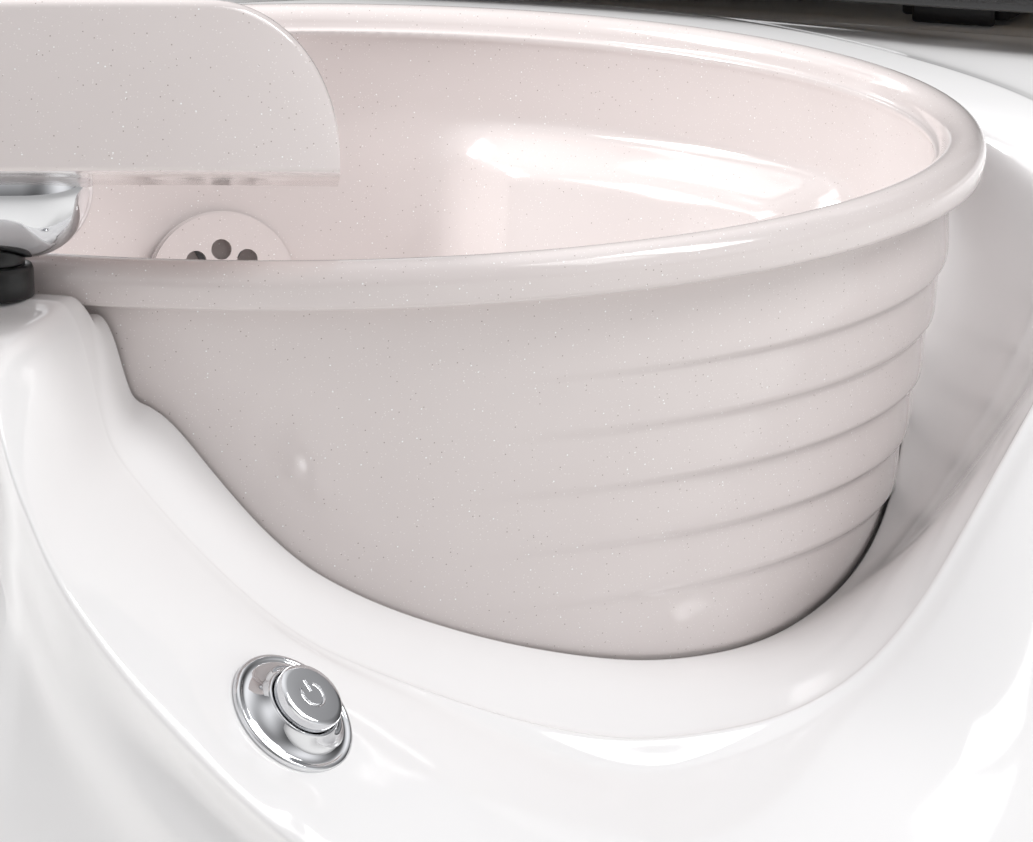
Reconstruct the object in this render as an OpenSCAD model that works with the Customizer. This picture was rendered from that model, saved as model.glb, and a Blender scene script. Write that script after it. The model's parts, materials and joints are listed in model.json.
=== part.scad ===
// Pedicure spa chair: a moulded tub surround with a round foot bowl, a swivelling
// footrest on the front column, and a sliding, reclining seat on the rear pedestal.
// +Z is up, the front faces -Y, and the floor is at z = 0. Millimetres.

/* [Bowl] */
// Height of the bowl's rim above the floor
rim_height = 405; // [395:1:415]
// Outer radius of the rolled rim
rim_r = 280; // [279:1:282]
// Thickness of the bowl's wall
bowl_wall = 6; // [4:0.5:7]
// Depth of the bowl below its rim, measured outside
bowl_depth = 226; // [224:1:230]
// Height of the moulded heel shelf's top, below the rim
shelf_drop = 54; // [50:1:70]
// Number of raised bands round each side of the bowl
band_count = 5; // [3:1:5]

/* [Tub surround] */
// Half of the surround's width
base_half_w = 375; // [370:1:385]
// Distance from the bowl's centre to the front of the surround
base_front = 402; // [398:1:410]
// Distance from the bowl's centre to the seam behind it
seam_y = 345; // [342:1:350]
// Thickness of the moulded shell
shell_t = 7; // [6:0.5:8]
// Height of the surround's lower edge above the floor
skirt_gap = 12; // [10:1:15]

/* [Footrest] */
// Distance from the bowl's centre to the footrest post
post_y = 298; // [296:1:300]
// Radius of the footrest post
post_r = 9; // [8:0.5:10]
// Swivel of the footrest to one side when parked
footrest_swivel = 22; // [0:1:23]
// Tilt of the footrest's front edge upwards when parked
footrest_tilt = 14; // [0:1:15]
// Length of the footrest
footrest_len = 256; // [240:1:270]
// Height of the footrest's body
footrest_h = 62; // [55:1:65]

/* [Pedestal] */
// Half of the pedestal's width
pedestal_half_w = 345; // [335:1:360]
// Distance from the bowl's centre to the back of the pedestal
pedestal_back = 850; // [840:1:870]

/* [Seat] */
// Half of the seat cushion's width
seat_half_w = 258; // [250:1:259]
// Distance from the bowl's centre to the front of the seat
seat_front = 305; // [300:1:310]
// Height of the seat cushion's top above the floor
seat_top = 580; // [570:1:590]
// Lean of the backrest when upright
back_lean = 12; // [10:1:14]
// Length of the backrest cushion
back_len = 610; // [590:5:620]
// Height of the arm's hinge above the floor
arm_hinge_z = 690; // [680:1:700]

/* [Trays] */
// Length of a manicure tray
tray_len = 250; // [230:5:260]
// Radius of a tray's cup holder
cup_r = 38; // [34:1:40]

/* [Hidden] */
$fn = 64;

bowl_y = -312;
floor_z = -rim_height;
deck_z = -10;
rim_h = 17;
lip_r = 9;
wall_gap = 1.6;
column_z = -11;
run_gap = 0.05;

white = "white";
gelcoat = [0.85, 0.82, 0.82];
chrome = [0.75, 0.76, 0.78];
leather = [0.06, 0.06, 0.065];
steel = [0.35, 0.36, 0.38];
black_plastic = [0.08, 0.08, 0.08];
grey_plastic = [0.55, 0.55, 0.57];

// Stations of the curves that the tub follows round the bowl: [angle from the
// front, value], the same on both sides.
seat_line = [[0, -22], [6.3, -22], [7.5, -32], [8.5, -54], [11, -60], [16, -90],
    [22, -120], [30, -140], [45, -163], [60, -177], [74, -181], [88, -174],
    [102, -152], [113, -115], [125, -62], [137, -22], [180, -22]];
crease_r = [[0, 300], [8, 300], [15, 298], [30, 294], [45, 288], [60, 292],
    [75, 312], [88, 328], [105, 336], [125, 334], [150, 326], [180, 322]];
crease_z = [[0, column_z], [5.2, column_z], [6.6, -20], [8.6, -62], [11, -80],
    [15, -104], [22, -137], [30, -158], [40, -179], [50, -191], [60, -191],
    [70, -172], [80, -108], [90, -62], [105, -34], [137, -14], [180, -5]];
riser_h = [[0, 0], [27, 0], [41, 7], [47, 10], [60, 3], [75, 0], [180, 0]];
ridge_r = [[0, 384], [5, 380], [7, 388], [15, 395], [22, 397]];
ridge_z = [[0, -34], [5, -34], [7, -60], [9.3, -93], [13.4, -131], [17, -157],
    [22, -190], [30, -222], [42, -248], [58, -256], [75, -235], [90, -190],
    [110, -95], [122, -36], [132, -14], [180, -12]];
tub_angles = [0, 3, 5, 6, 6.6, 7.2, 7.8, 8.5, 9.5, 11, 13, 15, 18, 22, 26, 30, 35, 40,
    45, 50, 55, 60, 66, 72, 78, 84, 90, 97, 105, 112, 118, 124, 128, 131, 133, 136,
    140, 146, 153, 162, 171, 180];

// Outer wall of the bowl: [height below the rim, radius]
wall_line = [[-226, 140], [-221, 170], [-214, 190], [-203, 210], [-194, 220],
    [-182, 229], [-160, 239], [-135, 245], [-112, 250], [-70, 258.5], [-42, 264],
    [-17, 266]];

// Cubic through the stations that never overshoots them
function slope(s, i) = (s[i + 1][1] - s[i][1]) / (s[i + 1][0] - s[i][0]);
function tangent(s, i) =
    i == 0 || i == len(s) - 1 ? 0 :
    let (a = slope(s, i - 1), b = slope(s, i))
    a * b <= 0 ? 0 : 2 * a * b / (a + b);
function segment(s, t, i = 0) =
    i >= len(s) - 2 || t < s[i + 1][0] ? i : segment(s, t, i + 1);
function along(s, t) =
    let (i = segment(s, t), h = s[i + 1][0] - s[i][0],
        u = max(0, min(1, (t - s[i][0]) / h)))
    s[i][1] * (1 + 2 * u) * pow(1 - u, 2) + h * tangent(s, i) * u * pow(1 - u, 2)
    + s[i + 1][1] * u * u * (3 - 2 * u) + h * tangent(s, i + 1) * u * u * (u - 1);

function wall_r(z) = along(wall_line, z);
function mix(a, b, w) = a + (b - a) * w;
function ease(x) = let (u = max(0, min(1, x))) u * u * (3 - 2 * u);
function polar(r, a, z) = [r * sin(a), -r * cos(a), z];

// How far the rim is nested in the tub: 1 on the column and behind, 0 where the
// cradle is open at the front and the sides
function nested(t) = t < 90 ? 1 - ease((t - 6.3) / 2.2) : ease((t - 112) / 26);

// Plan outline of the tub: an oval in front, a squared end at the seam
function outline_r(t) =
    let (p = t < 90 ? 2.1 : 16, b = t < 90 ? base_front : seam_y)
    pow(pow(sin(t) / base_half_w, p) + pow(abs(cos(t)) / b, p), -1 / p);

// Section of the tub at one angle: out over the gutter, the crease, the ribbon
// and the ridge, down the skirt, and back along the inner face
function section(t) =
    let (w = nested(t), z1 = along(seat_line, t), rc = wall_r(z1) + wall_gap,
        r3 = along(crease_r, t), z3 = along(crease_z, t), h = along(riser_h, t),
        ro = outline_r(t), r5 = t < 22 ? min(along(ridge_r, t), ro) : ro,
        z5 = along(ridge_z, t), foot = floor_z + skirt_gap,
        p0 = [rc, z1],
        p1 = [mix(mix(rc, r3, 0.3), rim_r + 1.5, w), mix(mix(z1, z3, 0.18), z1, w)],
        p2 = [mix(mix(rc, r3, 0.65), rim_r + 3, w), mix(mix(z1, z3, 0.55), z3 - 2, w)],
        p3 = [r3, z3],
        p4 = [r3 + 7, z3 - h - 1],
        p5 = [mix(r3, r5, 0.5), t < 5.5 ? z3 : mix(z3, z5, 0.34) - h / 2],
        p6 = [mix(r3, r5, 0.8), mix(z3, z5, 0.68)],
        p7 = [r5, z5],
        p8 = [r5 + 2, z5 - 25],
        p9 = [ro - 6, mix(z5, foot, 0.55)],
        p10 = [ro + 2, foot + 60],
        p11 = [ro + 2, foot + 22],
        p12 = [ro - 18, foot + 18],
        p13 = [ro - 20, foot])
    [p0, p1, p2, p3, p4, p5, p6, p7, p8, p9, p10, p11, p12, p13,
        p13 - [shell_t, 0], p12 + [-shell_t, 7], p10 - [shell_t, -5],
        p9 - [shell_t, 0], p8 - [shell_t, 4], p7 - [shell_t, shell_t + 2],
        p6 - [2, shell_t + 1], p5 - [0, shell_t], [r3, z3 - h - shell_t - 1],
        [p2[0] + 6 * w, p2[1] - shell_t], [p1[0] + 6 * w, p1[1] - shell_t],
        [rc + 0.5, z1 - shell_t]];

module at_bowl() translate([0, bowl_y, rim_height]) children();
module at_floor() translate([0, bowl_y, 0]) children();
module mirrored() {
    children();
    mirror([1, 0, 0]) children();
}
module box(x0, x1, y0, y1, z0, z1)
    translate([x0, y0, z0]) cube([x1 - x0, y1 - y0, z1 - z0]);
module rounded(x, y, z, r)
    hull() for (i = [-1, 1], j = [-1, 1])
        translate([i * (x / 2 - r), j * (y / 2 - r)]) cylinder(h = z, r = r, $fn = 32);
module tube(h, ro, ri)
    difference() {
        cylinder(h = h, r = ro);
        translate([0, 0, -1]) cylinder(h = h + 2, r = ri);
    }

// ---- Tub surround and pedestal ----

switch_at = [347 * sin(21.5), -347 * cos(21.5), -153.5];
switch_yaw = 70.6;
switch_tilt = 46.4;
module at_switch()
    at_bowl() translate(switch_at) rotate([0, 0, switch_yaw - 90]) rotate([0, switch_tilt, 0])
        children();
faucet_at = [-306, 204, -16];
module at_faucet() at_bowl() translate(faucet_at) children();

module base_shell() {
    n = len(tub_angles);
    turns = concat([for (a = tub_angles) a], [for (i = [n - 2:-1:1]) 360 - tub_angles[i]]);
    m = len(section(0));
    points = [for (a = turns) let (s = section(a > 180 ? 360 - a : a))
        for (q = s) polar(q[0], a, q[1])];
    faces = [for (j = [0:len(turns) - 1], i = [0:m - 1])
        let (k = (j + 1) % len(turns), l = (i + 1) % m)
        [j * m + i, j * m + l, k * m + l, k * m + i]];
    color(white) difference() {
        at_bowl() polyhedron(points = points, faces = faces);
        at_bowl() translate([0, -post_y, column_z - 20]) cylinder(h = 40, r = post_r + 5);
        at_switch() translate([0, 0, -30]) cylinder(h = 60, r = 12);
        at_switch() translate([0, 0, 0.3]) cylinder(h = 20, r = 26.5);
        at_faucet() translate([0, 0, -40]) cylinder(h = 80, r = 14);
        at_floor() seam_passage();
    }
}
// Passage through both walls at the seam, for the frame's runners and the waste pipe
passage_w = 260;
passage_h = 76;
module seam_passage()
    box(-passage_w / 2, passage_w / 2, seam_y - 60, seam_y + 20, 0, passage_h);

module pedestal_shell() {
    deck = rim_height + deck_z;
    y0 = seam_y + 2;
    mid = (y0 + pedestal_back) / 2;
    long = pedestal_back - y0;
    color(white) at_floor() difference() {
        translate([0, mid, skirt_gap]) rounded(2 * pedestal_half_w, long, deck - skirt_gap, 30);
        translate([0, mid, -1])
            rounded(2 * (pedestal_half_w - shell_t), long - 2 * shell_t, deck - shell_t + 1, 24);
        box(-door_w / 2, door_w / 2, pedestal_back - 20, pedestal_back + 10, door_z, door_z + door_h);
        translate([250, pedestal_back + 10, 60]) rotate([90, 0, 0]) cylinder(h = 40, r = 14);
        seam_passage();
    }
}

rail_x = 170;
frame_t = 30;
rail_top = rim_height + deck_z;
leg_x = 280;
legs_y = [390, 805];
spine_x = 110;
spine_front = -315;
frame_z = 16;
module base_frame() {
    top = rail_top - shell_t - frame_t;
    color(steel) at_floor() difference() {
        union() {
            mirrored() {
                for (y = legs_y)
                    box(leg_x - 15, leg_x + 15, y - 15, y + 15, frame_z, top + frame_t);
                box(rail_x - 15, rail_x + 15, legs_y[0], legs_y[1], top, top + frame_t);
                box(spine_x - 15, spine_x + 15, spine_front, legs_y[1], frame_z, frame_z + frame_t);
            }
            for (y = legs_y) {
                box(-leg_x, leg_x, y - 15, y + 15, top, top + frame_t);
                box(-leg_x, leg_x, y - 15, y + 15, frame_z, frame_z + frame_t);
            }
            box(-spine_x, spine_x, spine_front - 15, spine_front + 15, frame_z, frame_z + frame_t);
        }
        foot_places() translate([0, 0, -1]) cylinder(h = 40, r = 5);
    }
}
module foot_places() {
    for (s = [-1, 1], y = legs_y) translate([s * leg_x, y, 0]) children();
    for (s = [-1, 1]) translate([s * spine_x, spine_front, 0]) children();
}
module leveling_feet()
    color(black_plastic) at_floor() foot_places() {
        cylinder(h = 8, r = 22);
        cylinder(h = frame_z, r = 9);
        cylinder(h = 36, r = 5);
    }

// ---- Bowl and its fittings ----

drain_r = 34;
jet_z = -120;
jet_wall = 240.2;
jet_yaw = -150;
jet_tilt = 13;
jet_r = 33;

// Closed profile of the bowl: outside up to the rim, over the rolled lip and
// its inner step, and down inside
function bowl_profile() = concat(
    [[0, -bowl_depth]],
    [for (z = [-bowl_depth, -221, -214, -203, -194, -182, -160, -135, -112, -70, -42, -rim_h])
        [wall_r(z), z]],
    [[rim_r - 1, -rim_h]],
    [for (a = [0:15:180]) [rim_r - lip_r + lip_r * cos(a), -lip_r + lip_r * sin(a)]],
    [[rim_r - 18.5, -lip_r], [rim_r - 20, -lip_r - 1.5]],
    [for (z = [-42, -70, -112, -135, -160, -182, -194, -203, -212]) [wall_r(z) - bowl_wall, z]],
    [[170, 7 - bowl_depth], [50, 6 - bowl_depth], [0, 6 - bowl_depth]]);

band_pitch = 23.5;
band_start = 40;
band_end = 120;
module bowl() {
    color(gelcoat) difference() {
        at_bowl() {
            rotate_extrude($fn = 96) polygon(bowl_profile());
            for (i = [0:band_count - 1]) mirrored() bowl_band(i);
            heel_shelf();
        }
        at_bowl() translate([0, 0, -bowl_depth - 1]) cylinder(h = 30, r = drain_r - 8);
        at_jet() translate([0, 0, -30]) cylinder(h = 60, r = jet_r - 4);
    }
}
// A lapped band on one side: the lower ones end sooner, where the cradle rises
module bowl_band(i) {
    z = -52 - band_pitch * i;
    rotate(band_start - 90) rotate_extrude(angle = band_end - 5.5 * i - band_start, $fn = 96)
        polygon([[wall_r(z) - 2, z], [wall_r(z) + 2.5, z], [wall_r(z + 17) + 0.4, z + 17],
            [wall_r(z + 17) - 2, z + 17]]);
}
module heel_shelf()
    rotate([0, 0, 48]) rotate_extrude(angle = 50, $fn = 96)
        polygon([[175, 5 - bowl_depth], [206, -shelf_drop - 14], [220, -shelf_drop],
            [wall_r(-shelf_drop) - 3, -shelf_drop], [wall_r(-182) - 3, -182],
            [wall_r(-203) - 3, -203], [190, 5 - bowl_depth]]);

module bowl_gasket()
    color(grey_plastic) at_bowl() rotate([0, 0, 50]) rotate_extrude(angle = 80, $fn = 96)
        translate([269, -rim_h - 4.9]) square([9, 4.8]);

module drain_flange()
    color(chrome) at_bowl() translate([0, 0, -bowl_depth]) difference() {
        union() {
            translate([0, 0, 6.1]) cylinder(h = 2.4, r = drain_r);
            translate([0, 0, -24]) cylinder(h = 31, r = drain_r - 8.3);
        }
        translate([0, 0, -25]) cylinder(h = 28, r = 19);
        translate([0, 0, -1]) cylinder(h = 12, r = 22);
        translate([0, 0, 4]) cylinder(h = 5, r1 = 22, r2 = 27);
    }
module drain_stopper()
    color(chrome) at_bowl() translate([0, 0, -bowl_depth]) {
        translate([0, 0, 8.8]) cylinder(h = 2.5, r = 25);
        translate([0, 0, 5]) cylinder(h = 4, r = 20);
        translate([0, 0, -16]) cylinder(h = 22, r = 4);
    }
module drain_trap()
    color(grey_plastic) at_bowl() translate([0, 0, -bowl_depth]) {
        difference() {
            union() {
                translate([0, 0, -95]) cylinder(h = 70.5, r = 25);
                translate([0, 0, -80]) rotate([-90, 0, 0]) cylinder(h = 300, r = 20);
            }
            translate([0, 0, -90]) cylinder(h = 70, r = 21);
            translate([0, 5, -80]) rotate([-90, 0, 0]) cylinder(h = 310, r = 16);
        }
    }

module at_jet()
    at_bowl() rotate(jet_yaw) translate([0, -jet_wall, jet_z]) rotate([jet_tilt - 90, 0, 0])
        children();
module jet_housing()
    color(gelcoat) at_jet() difference() {
        union() {
            translate([0, 0, 1]) cylinder(h = 7, r = jet_r);
            translate([0, 0, -26]) cylinder(h = 28, r = jet_r - 4.3);
        }
        translate([0, 0, -18]) cylinder(h = 30, r = jet_r - 9);
        translate([0, 0, -27]) cylinder(h = 28, r = 3.05);
    }
module jet_cap()
    color(gelcoat) at_jet() difference() {
        translate([0, 0, 8.1]) cylinder(h = 3.5, r = jet_r - 1);
        for (i = [0:7]) rotate(i * 45) translate([16, 0, 7]) cylinder(h = 6, r = 4.5);
        translate([0, 0, 7]) cylinder(h = 6, r = 6);
    }
module jet_impeller()
    color(grey_plastic) at_jet() {
        translate([0, 0, -25.5]) cylinder(h = 30, r = 3);
        translate([0, 0, -12]) cylinder(h = 14, r = 8);
        for (i = [0:5]) rotate(i * 60) translate([6, -1.25, -12]) cube([14, 2.5, 14]);
    }
module jet_motor()
    color(black_plastic) at_jet() {
        translate([0, 0, -82]) cylinder(h = 55.5, r = 27);
        translate([0, 0, -92]) cylinder(h = 11, r = 18);
    }

// ---- Faucet on the left shoulder ----

spout_yaw = atan2(-204, 306);
module faucet_body()
    color(chrome) at_faucet() {
        difference() {
            union() {
                cylinder(h = 6, r = 26);
                cylinder(h = 86, r = 20);
            }
            translate([0, 0, 70]) cylinder(h = 20, r = 8.05);
            translate([0, 0, 58]) rotate([0, 90, spout_yaw]) cylinder(h = 30, r = 9.2);
        }
        translate([0, 0, -34]) cylinder(h = 35, r = 13);
    }
module faucet_spout()
    color(chrome) at_faucet() translate([0, 0, 58]) rotate(spout_yaw) difference() {
        union() {
            rotate([0, 90, 0]) translate([0, 0, 12]) cylinder(h = 136, r = 9);
            translate([148, 0, -22]) cylinder(h = 22, r = 10.5);
            translate([148, 0, 0]) sphere(r = 10.5);
        }
        translate([148, 0, -23]) cylinder(h = 20, r = 7.5);
    }
module faucet_lever()
    color(chrome) at_faucet() translate([0, 0, 86.4]) {
        translate([0, 0, -12]) cylinder(h = 14, r = 8);
        cylinder(h = 16, r = 19.5);
        translate([0, -5, 7]) cube([72, 10, 6]);
    }

// ---- Air switch on the apron ----

module switch_escutcheon()
    color(chrome) at_switch() rotate_extrude()
        polygon([[8.1, 0.4], [25.5, 0.4], [25.5, 2], [21, 3.4], [17, 6.2], [14.6, 9.4],
            [13.8, 9.6], [13.8, 3], [8.1, 3]]);
module switch_knob()
    color(chrome) at_switch() {
        translate([0, 0, 9.8]) cylinder(h = 5.2, r = 13.5);
        translate([0, 0, 6.6]) cylinder(h = 3.3, r = 13.3);
        translate([0, 0, -9]) cylinder(h = 16, r = 8);
    }
module switch_body()
    color(black_plastic) at_switch() difference() {
        union() {
            translate([0, 0, -40]) cylinder(h = 40.3, r = 11.5);
            translate([0, 0, -22]) cylinder(h = 8, r = 20, $fn = 6);
        }
        translate([0, 0, -14]) cylinder(h = 15, r = 8.1);
    }

// ---- Footrest ----

barrel_z = 29;
barrel_r = 25.5;
barrel_half = 12;
bottom_z = 32;
module at_post() at_bowl() translate([0, -post_y, 0]) children();
module at_barrel() at_post() translate([0, 0, barrel_z]) rotate(footrest_swivel) children();
module at_tilt() at_barrel() rotate([-footrest_tilt, 0, 0]) children();

module footrest_bush()
    color(steel) at_post() translate([0, 0, floor_z + frame_z + frame_t])
        tube(-floor_z - frame_z - frame_t + column_z - 22, 20, post_r + run_gap);
module footrest_collar()
    color(black_plastic) at_post() difference() {
        union() {
            translate([0, 0, column_z]) cylinder(h = 12, r = 15);
            translate([0, 0, column_z - 9.8]) cylinder(h = 10, r = post_r + 4.5);
        }
        translate([0, 0, column_z - 11]) cylinder(h = 30, r = post_r + run_gap);
    }
module footrest_post()
    color(chrome) at_post() difference() {
        translate([0, 0, -250]) cylinder(h = 255, r = post_r);
        translate([0, 0, -60]) cylinder(h = 70, r = 5.05);
    }
module footrest_clamp()
    color(black_plastic) at_post() translate([0, 0, 1.2]) tube(3.8, 12, post_r);
module footrest_barrel()
    color(chrome) at_barrel() {
        difference() {
            union() {
                rotate([0, 90, 0]) cylinder(h = 2 * barrel_half, r = barrel_r, center = true);
                for (s = [-1, 1]) translate([s * barrel_half, 0, 0]) sphere(r = barrel_r);
            }
            translate([0, 0, 5.3 - barrel_z - 20]) cube([80, 80, 40], center = true);
        }
        translate([0, 0, -70]) cylinder(h = 60, r = 5);
    }
module saddle_plate(z) translate([-50, -26, z]) cube([100, 52, 4]);
module footrest_bracket()
    color(steel) at_tilt() {
        difference() {
            rotate([0, 90, 0]) cylinder(h = 22, r = barrel_r + 4.5, center = true);
            rotate([0, 90, 0]) cylinder(h = 30, r = barrel_r + 0.1, center = true);
            translate([0, 0, -20.2]) cube([60, 80, 50], center = true);
        }
        difference() {
            translate([-11, -18, 24]) cube([22, 36, 14]);
            rotate([0, 90, 0]) cylinder(h = 30, r = barrel_r + 1.5, center = true);
        }
        difference() {
            saddle_plate(38);
            screw_places() translate([0, 0, 30]) cylinder(h = 20, r = 3);
        }
    }
module screw_places() for (x = [-40, 40], y = [-16, 16]) translate([x, y, 0]) children();
module footrest_screws()
    color(steel) at_tilt() screw_places() {
        translate([0, 0, 34.5]) cylinder(h = 3.4, r = 5.5);
        translate([0, 0, 36]) cylinder(h = 18, r = 2.9);
    }
// Front view of the footrest: flat below, big rounded shoulders above
module footrest_front(d = 0)
    intersection() {
        translate([0, 55 + d]) square([footrest_len - 2 * d, 110], center = true);
        polygon(concat(
            [[-footrest_len / 2 + d, d - 1], [footrest_len / 2 - d, d - 1]],
            [for (a = [0:15:90]) [footrest_len / 2 - 46 + (46 - d) * cos(a),
                footrest_h - 55 + (55 - d) * sin(a)]],
            [for (a = [90:15:180]) [46 - footrest_len / 2 + (46 - d) * cos(a),
                footrest_h - 55 + (55 - d) * sin(a)]]));
    }
// Plan of the footrest: a convex front and a softly hollowed back
module footrest_plan(d = 0)
    difference() {
        intersection() {
            translate([0, 220]) circle(r = 293 - d, $fn = 96);
            translate([-140, -80]) square([280, 135 - d]);
        }
        translate([0, 55 + 300]) circle(r = 312 + d, $fn = 96);
    }
module footrest_body(d)
    intersection() {
        rotate([90, 0, 0]) translate([0, 0, -90]) linear_extrude(180) footrest_front(d);
        translate([0, 0, -2]) linear_extrude(120) footrest_plan(d);
    }
module footrest_shell()
    color(gelcoat) at_tilt() translate([0, 0, bottom_z - barrel_z]) difference() {
        footrest_body(0);
        difference() {
            footrest_body(5);
            screw_places() translate([0, 0, 39.2]) cylinder(h = 30, r = 7);
        }
        screw_places() translate([0, 0, 30]) cylinder(h = 22, r = 3);
        translate([-46, -34, -5]) cube([92, 68, 20]);
    }

// ---- Seat base ----

rail_h = 15.5;
shoe_z = rail_top + rail_h + 0.3;
plate_z = shoe_z + 16.5;
pan_z = plate_z + 6;
cushion_z = pan_z + 12.2;
seat_back = 812;
hinge_y = 845;
hinge_z = 500;
arm_y = 735;
plate_x = 266;
module seat_rails()
    color(steel) at_floor() mirrored() {
        box(rail_x - 15, rail_x + 15, seam_y + 10, 815, rail_top, rail_top + rail_h);
        for (y = [seam_y + 10, 811])
            box(rail_x - 19, rail_x + 19, y, y + 4, rail_top, rail_top + rail_h);
    }
module seat_carriage()
    color(steel) at_floor() {
        mirrored() {
            difference() {
                box(rail_x - 25, rail_x + 25, 360, 640, shoe_z - 13.5, plate_z);
                box(rail_x - 15.4, rail_x + 15.4, 350, 650, shoe_z - 20, shoe_z);
            }
        }
        box(-215, 215, 360, 800, plate_z, pan_z);
        box(-plate_x, plate_x, 690, 800, plate_z, pan_z);
    }
module side_plates()
    color(steel) at_floor() mirrored() difference() {
        translate([plate_x, 0, 0]) rotate([90, 0, 90]) linear_extrude(8)
            polygon([[690, plate_z], [880, plate_z], [880, hinge_z + 30], [790, hinge_z + 50],
                [765, arm_hinge_z + 30], [705, arm_hinge_z + 30], [700, 560]]);
        translate([plate_x - 1, hinge_y, hinge_z]) rotate([0, 90, 0]) cylinder(h = 10, r = 10.05);
        translate([plate_x - 1, arm_y, arm_hinge_z]) rotate([0, 90, 0]) cylinder(h = 10, r = 9);
        translate([plate_x - 1, lever_y, lever_z]) rotate([0, 90, 0]) cylinder(h = 10, r = 6.05);
    }
module seat_pan()
    color([0.72, 0.58, 0.4]) at_floor() box(-240, 240, seat_front + 25, seat_back, pan_z, pan_z + 12);
module seat_cushion()
    color(leather) at_floor() translate([0, (seat_front + seat_back) / 2, cushion_z])
        rounded(2 * seat_half_w, seat_back - seat_front, seat_top - cushion_z, 30);
module seat_valance()
    color(leather) at_floor() difference() {
        box(-seat_half_w - 3, seat_half_w + 3, seat_front, 680, rim_height + 6, cushion_z - 0.4);
        box(-seat_half_w + 9, seat_half_w - 9, seat_front + 13, 700, rim_height, cushion_z + 5);
    }

lever_y = 800;
lever_z = 470;
module recline_lever()
    color(black_plastic) at_floor() translate([plate_x - 4, lever_y, lever_z]) {
        rotate([0, 90, 0]) cylinder(h = 16, r = 6);
        translate([12.3, -110, -9]) cube([9, 122, 18]);
    }

// ---- Backrest, in its own frame: hinge on the x axis, z up along the back ----

module at_back() at_floor() translate([0, hinge_y, hinge_z]) rotate([-back_lean, 0, 0]) children();
back_bars = [60, 340, 640];
module backrest_frame()
    color(steel) at_back() mirrored() difference() {
        union() {
            box(225, 245, -15, 15, 20, 680);
            box(225, 264, -18, 18, -20, 45);
            for (z = back_bars) box(-0.1, 226, -12, 12, z, z + 25);
        }
        translate([220, 0, 0]) rotate([0, 90, 0]) cylinder(h = 50, r = 10);
        for (z = [back_bars[1], back_bars[2]]) translate([110, 0, z - 1]) cylinder(h = 27, r = 7.05);
    }
module backrest_pins()
    color(chrome) at_back() mirrored() translate([226, 0, 0]) rotate([0, 90, 0]) {
        cylinder(h = 49, r = 10);
        translate([0, 0, 49.3]) cylinder(h = 4, r = 16);
    }
module backrest_panel()
    color(leather) at_back() {
        box(-250, 250, 15.3, 40, 46, 690);
    }
module backrest_cushion()
    color(leather) at_back() translate([0, -15.4, 85]) rotate([90, 0, 0])
        translate([0, back_len / 2, 0]) rounded(510, back_len, 95, 40);
module headrest_posts()
    color(chrome) at_back() mirrored() {
        translate([110, 0, 300]) cylinder(h = 430, r = 7);
        translate([110, 0.5, 722]) rotate([90, 0, 0]) cylinder(h = 30, r = 6.5);
    }
module headrest_cushion()
    color(leather) at_back() translate([0, -22, 700.5]) rotate([90, 0, 0])
        translate([0, 65, 0]) difference() {
            rounded(330, 130, 80, 40);
            mirrored() translate([110, -43.5, -1]) cylinder(h = 9.6, r = 6.7);
        }

// ---- Arms and trays ----

arm_x = 320;
arm_front = 350;
module arm(side)
    color(steel) at_floor() mirror([side < 0 ? 1 : 0, 0, 0]) difference() {
        union() {
            box(plate_x + 9, arm_x + 25, arm_y - 22, arm_y + 22, arm_hinge_z - 22, arm_hinge_z + 22);
            box(arm_x - 20, arm_x + 20, arm_front, arm_y, arm_hinge_z + 2, arm_hinge_z + 22);
        }
        translate([plate_x, arm_y, arm_hinge_z]) rotate([0, 90, 0]) cylinder(h = 90, r = 9.05);
        translate([arm_x, arm_front + 25, arm_hinge_z - 10]) cylinder(h = 40, r = 8.05);
    }
module arm_left() arm(-1);
module arm_right() arm(1);
module arm_pad(side)
    color(leather) at_floor() translate([side * arm_x, (arm_front + arm_y) / 2 + 27, arm_hinge_z + 22.2])
        rounded(80, arm_y - arm_front - 55, 48, 20);
module arm_pad_left() arm_pad(-1);
module arm_pad_right() arm_pad(1);
module arm_pins()
    color(chrome) at_floor() mirrored() translate([plate_x - 3, arm_y, arm_hinge_z]) rotate([0, 90, 0]) {
        cylinder(h = arm_x + 25 - plate_x + 3, r = 9);
        translate([0, 0, arm_x + 25.4 - plate_x + 3]) cylinder(h = 4, r = 15);
        translate([0, 0, arm_x + 25 - plate_x]) cylinder(h = 5, r = 8);
    }
tray_z = arm_hinge_z + 34;
tray_w = 120;
module tray_bracket(side)
    color(chrome) at_floor() mirror([side < 0 ? 1 : 0, 0, 0]) {
        translate([arm_x, arm_front + 25, arm_hinge_z - 8]) {
            cylinder(h = 34, r = 8);
            translate([0, 0, 30.5]) cylinder(h = 7, r = 16);
        }
        box(arm_x, arm_x + 75, arm_front + 13, arm_front + 37, tray_z - 7, tray_z - 0.2);
    }
module tray_bracket_left() tray_bracket(-1);
module tray_bracket_right() tray_bracket(1);
module tray(side)
    color(white) at_floor() mirror([side < 0 ? 1 : 0, 0, 0]) difference() {
        translate([arm_x + 45 + tray_w / 2, arm_front + 60, tray_z]) difference() {
            rounded(tray_w, tray_len, 18, 25);
            translate([0, 0, 6]) rounded(tray_w - 12, tray_len - 12, 20, 20);
        }
        translate([arm_x + 45 + tray_w / 2, arm_front + 60 + tray_len / 2 - 55, -1])
            cylinder(h = 1000, r = cup_r);
    }
module tray_left() tray(-1);
module tray_right() tray(1);

// ---- Service door and inlet at the back ----

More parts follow.
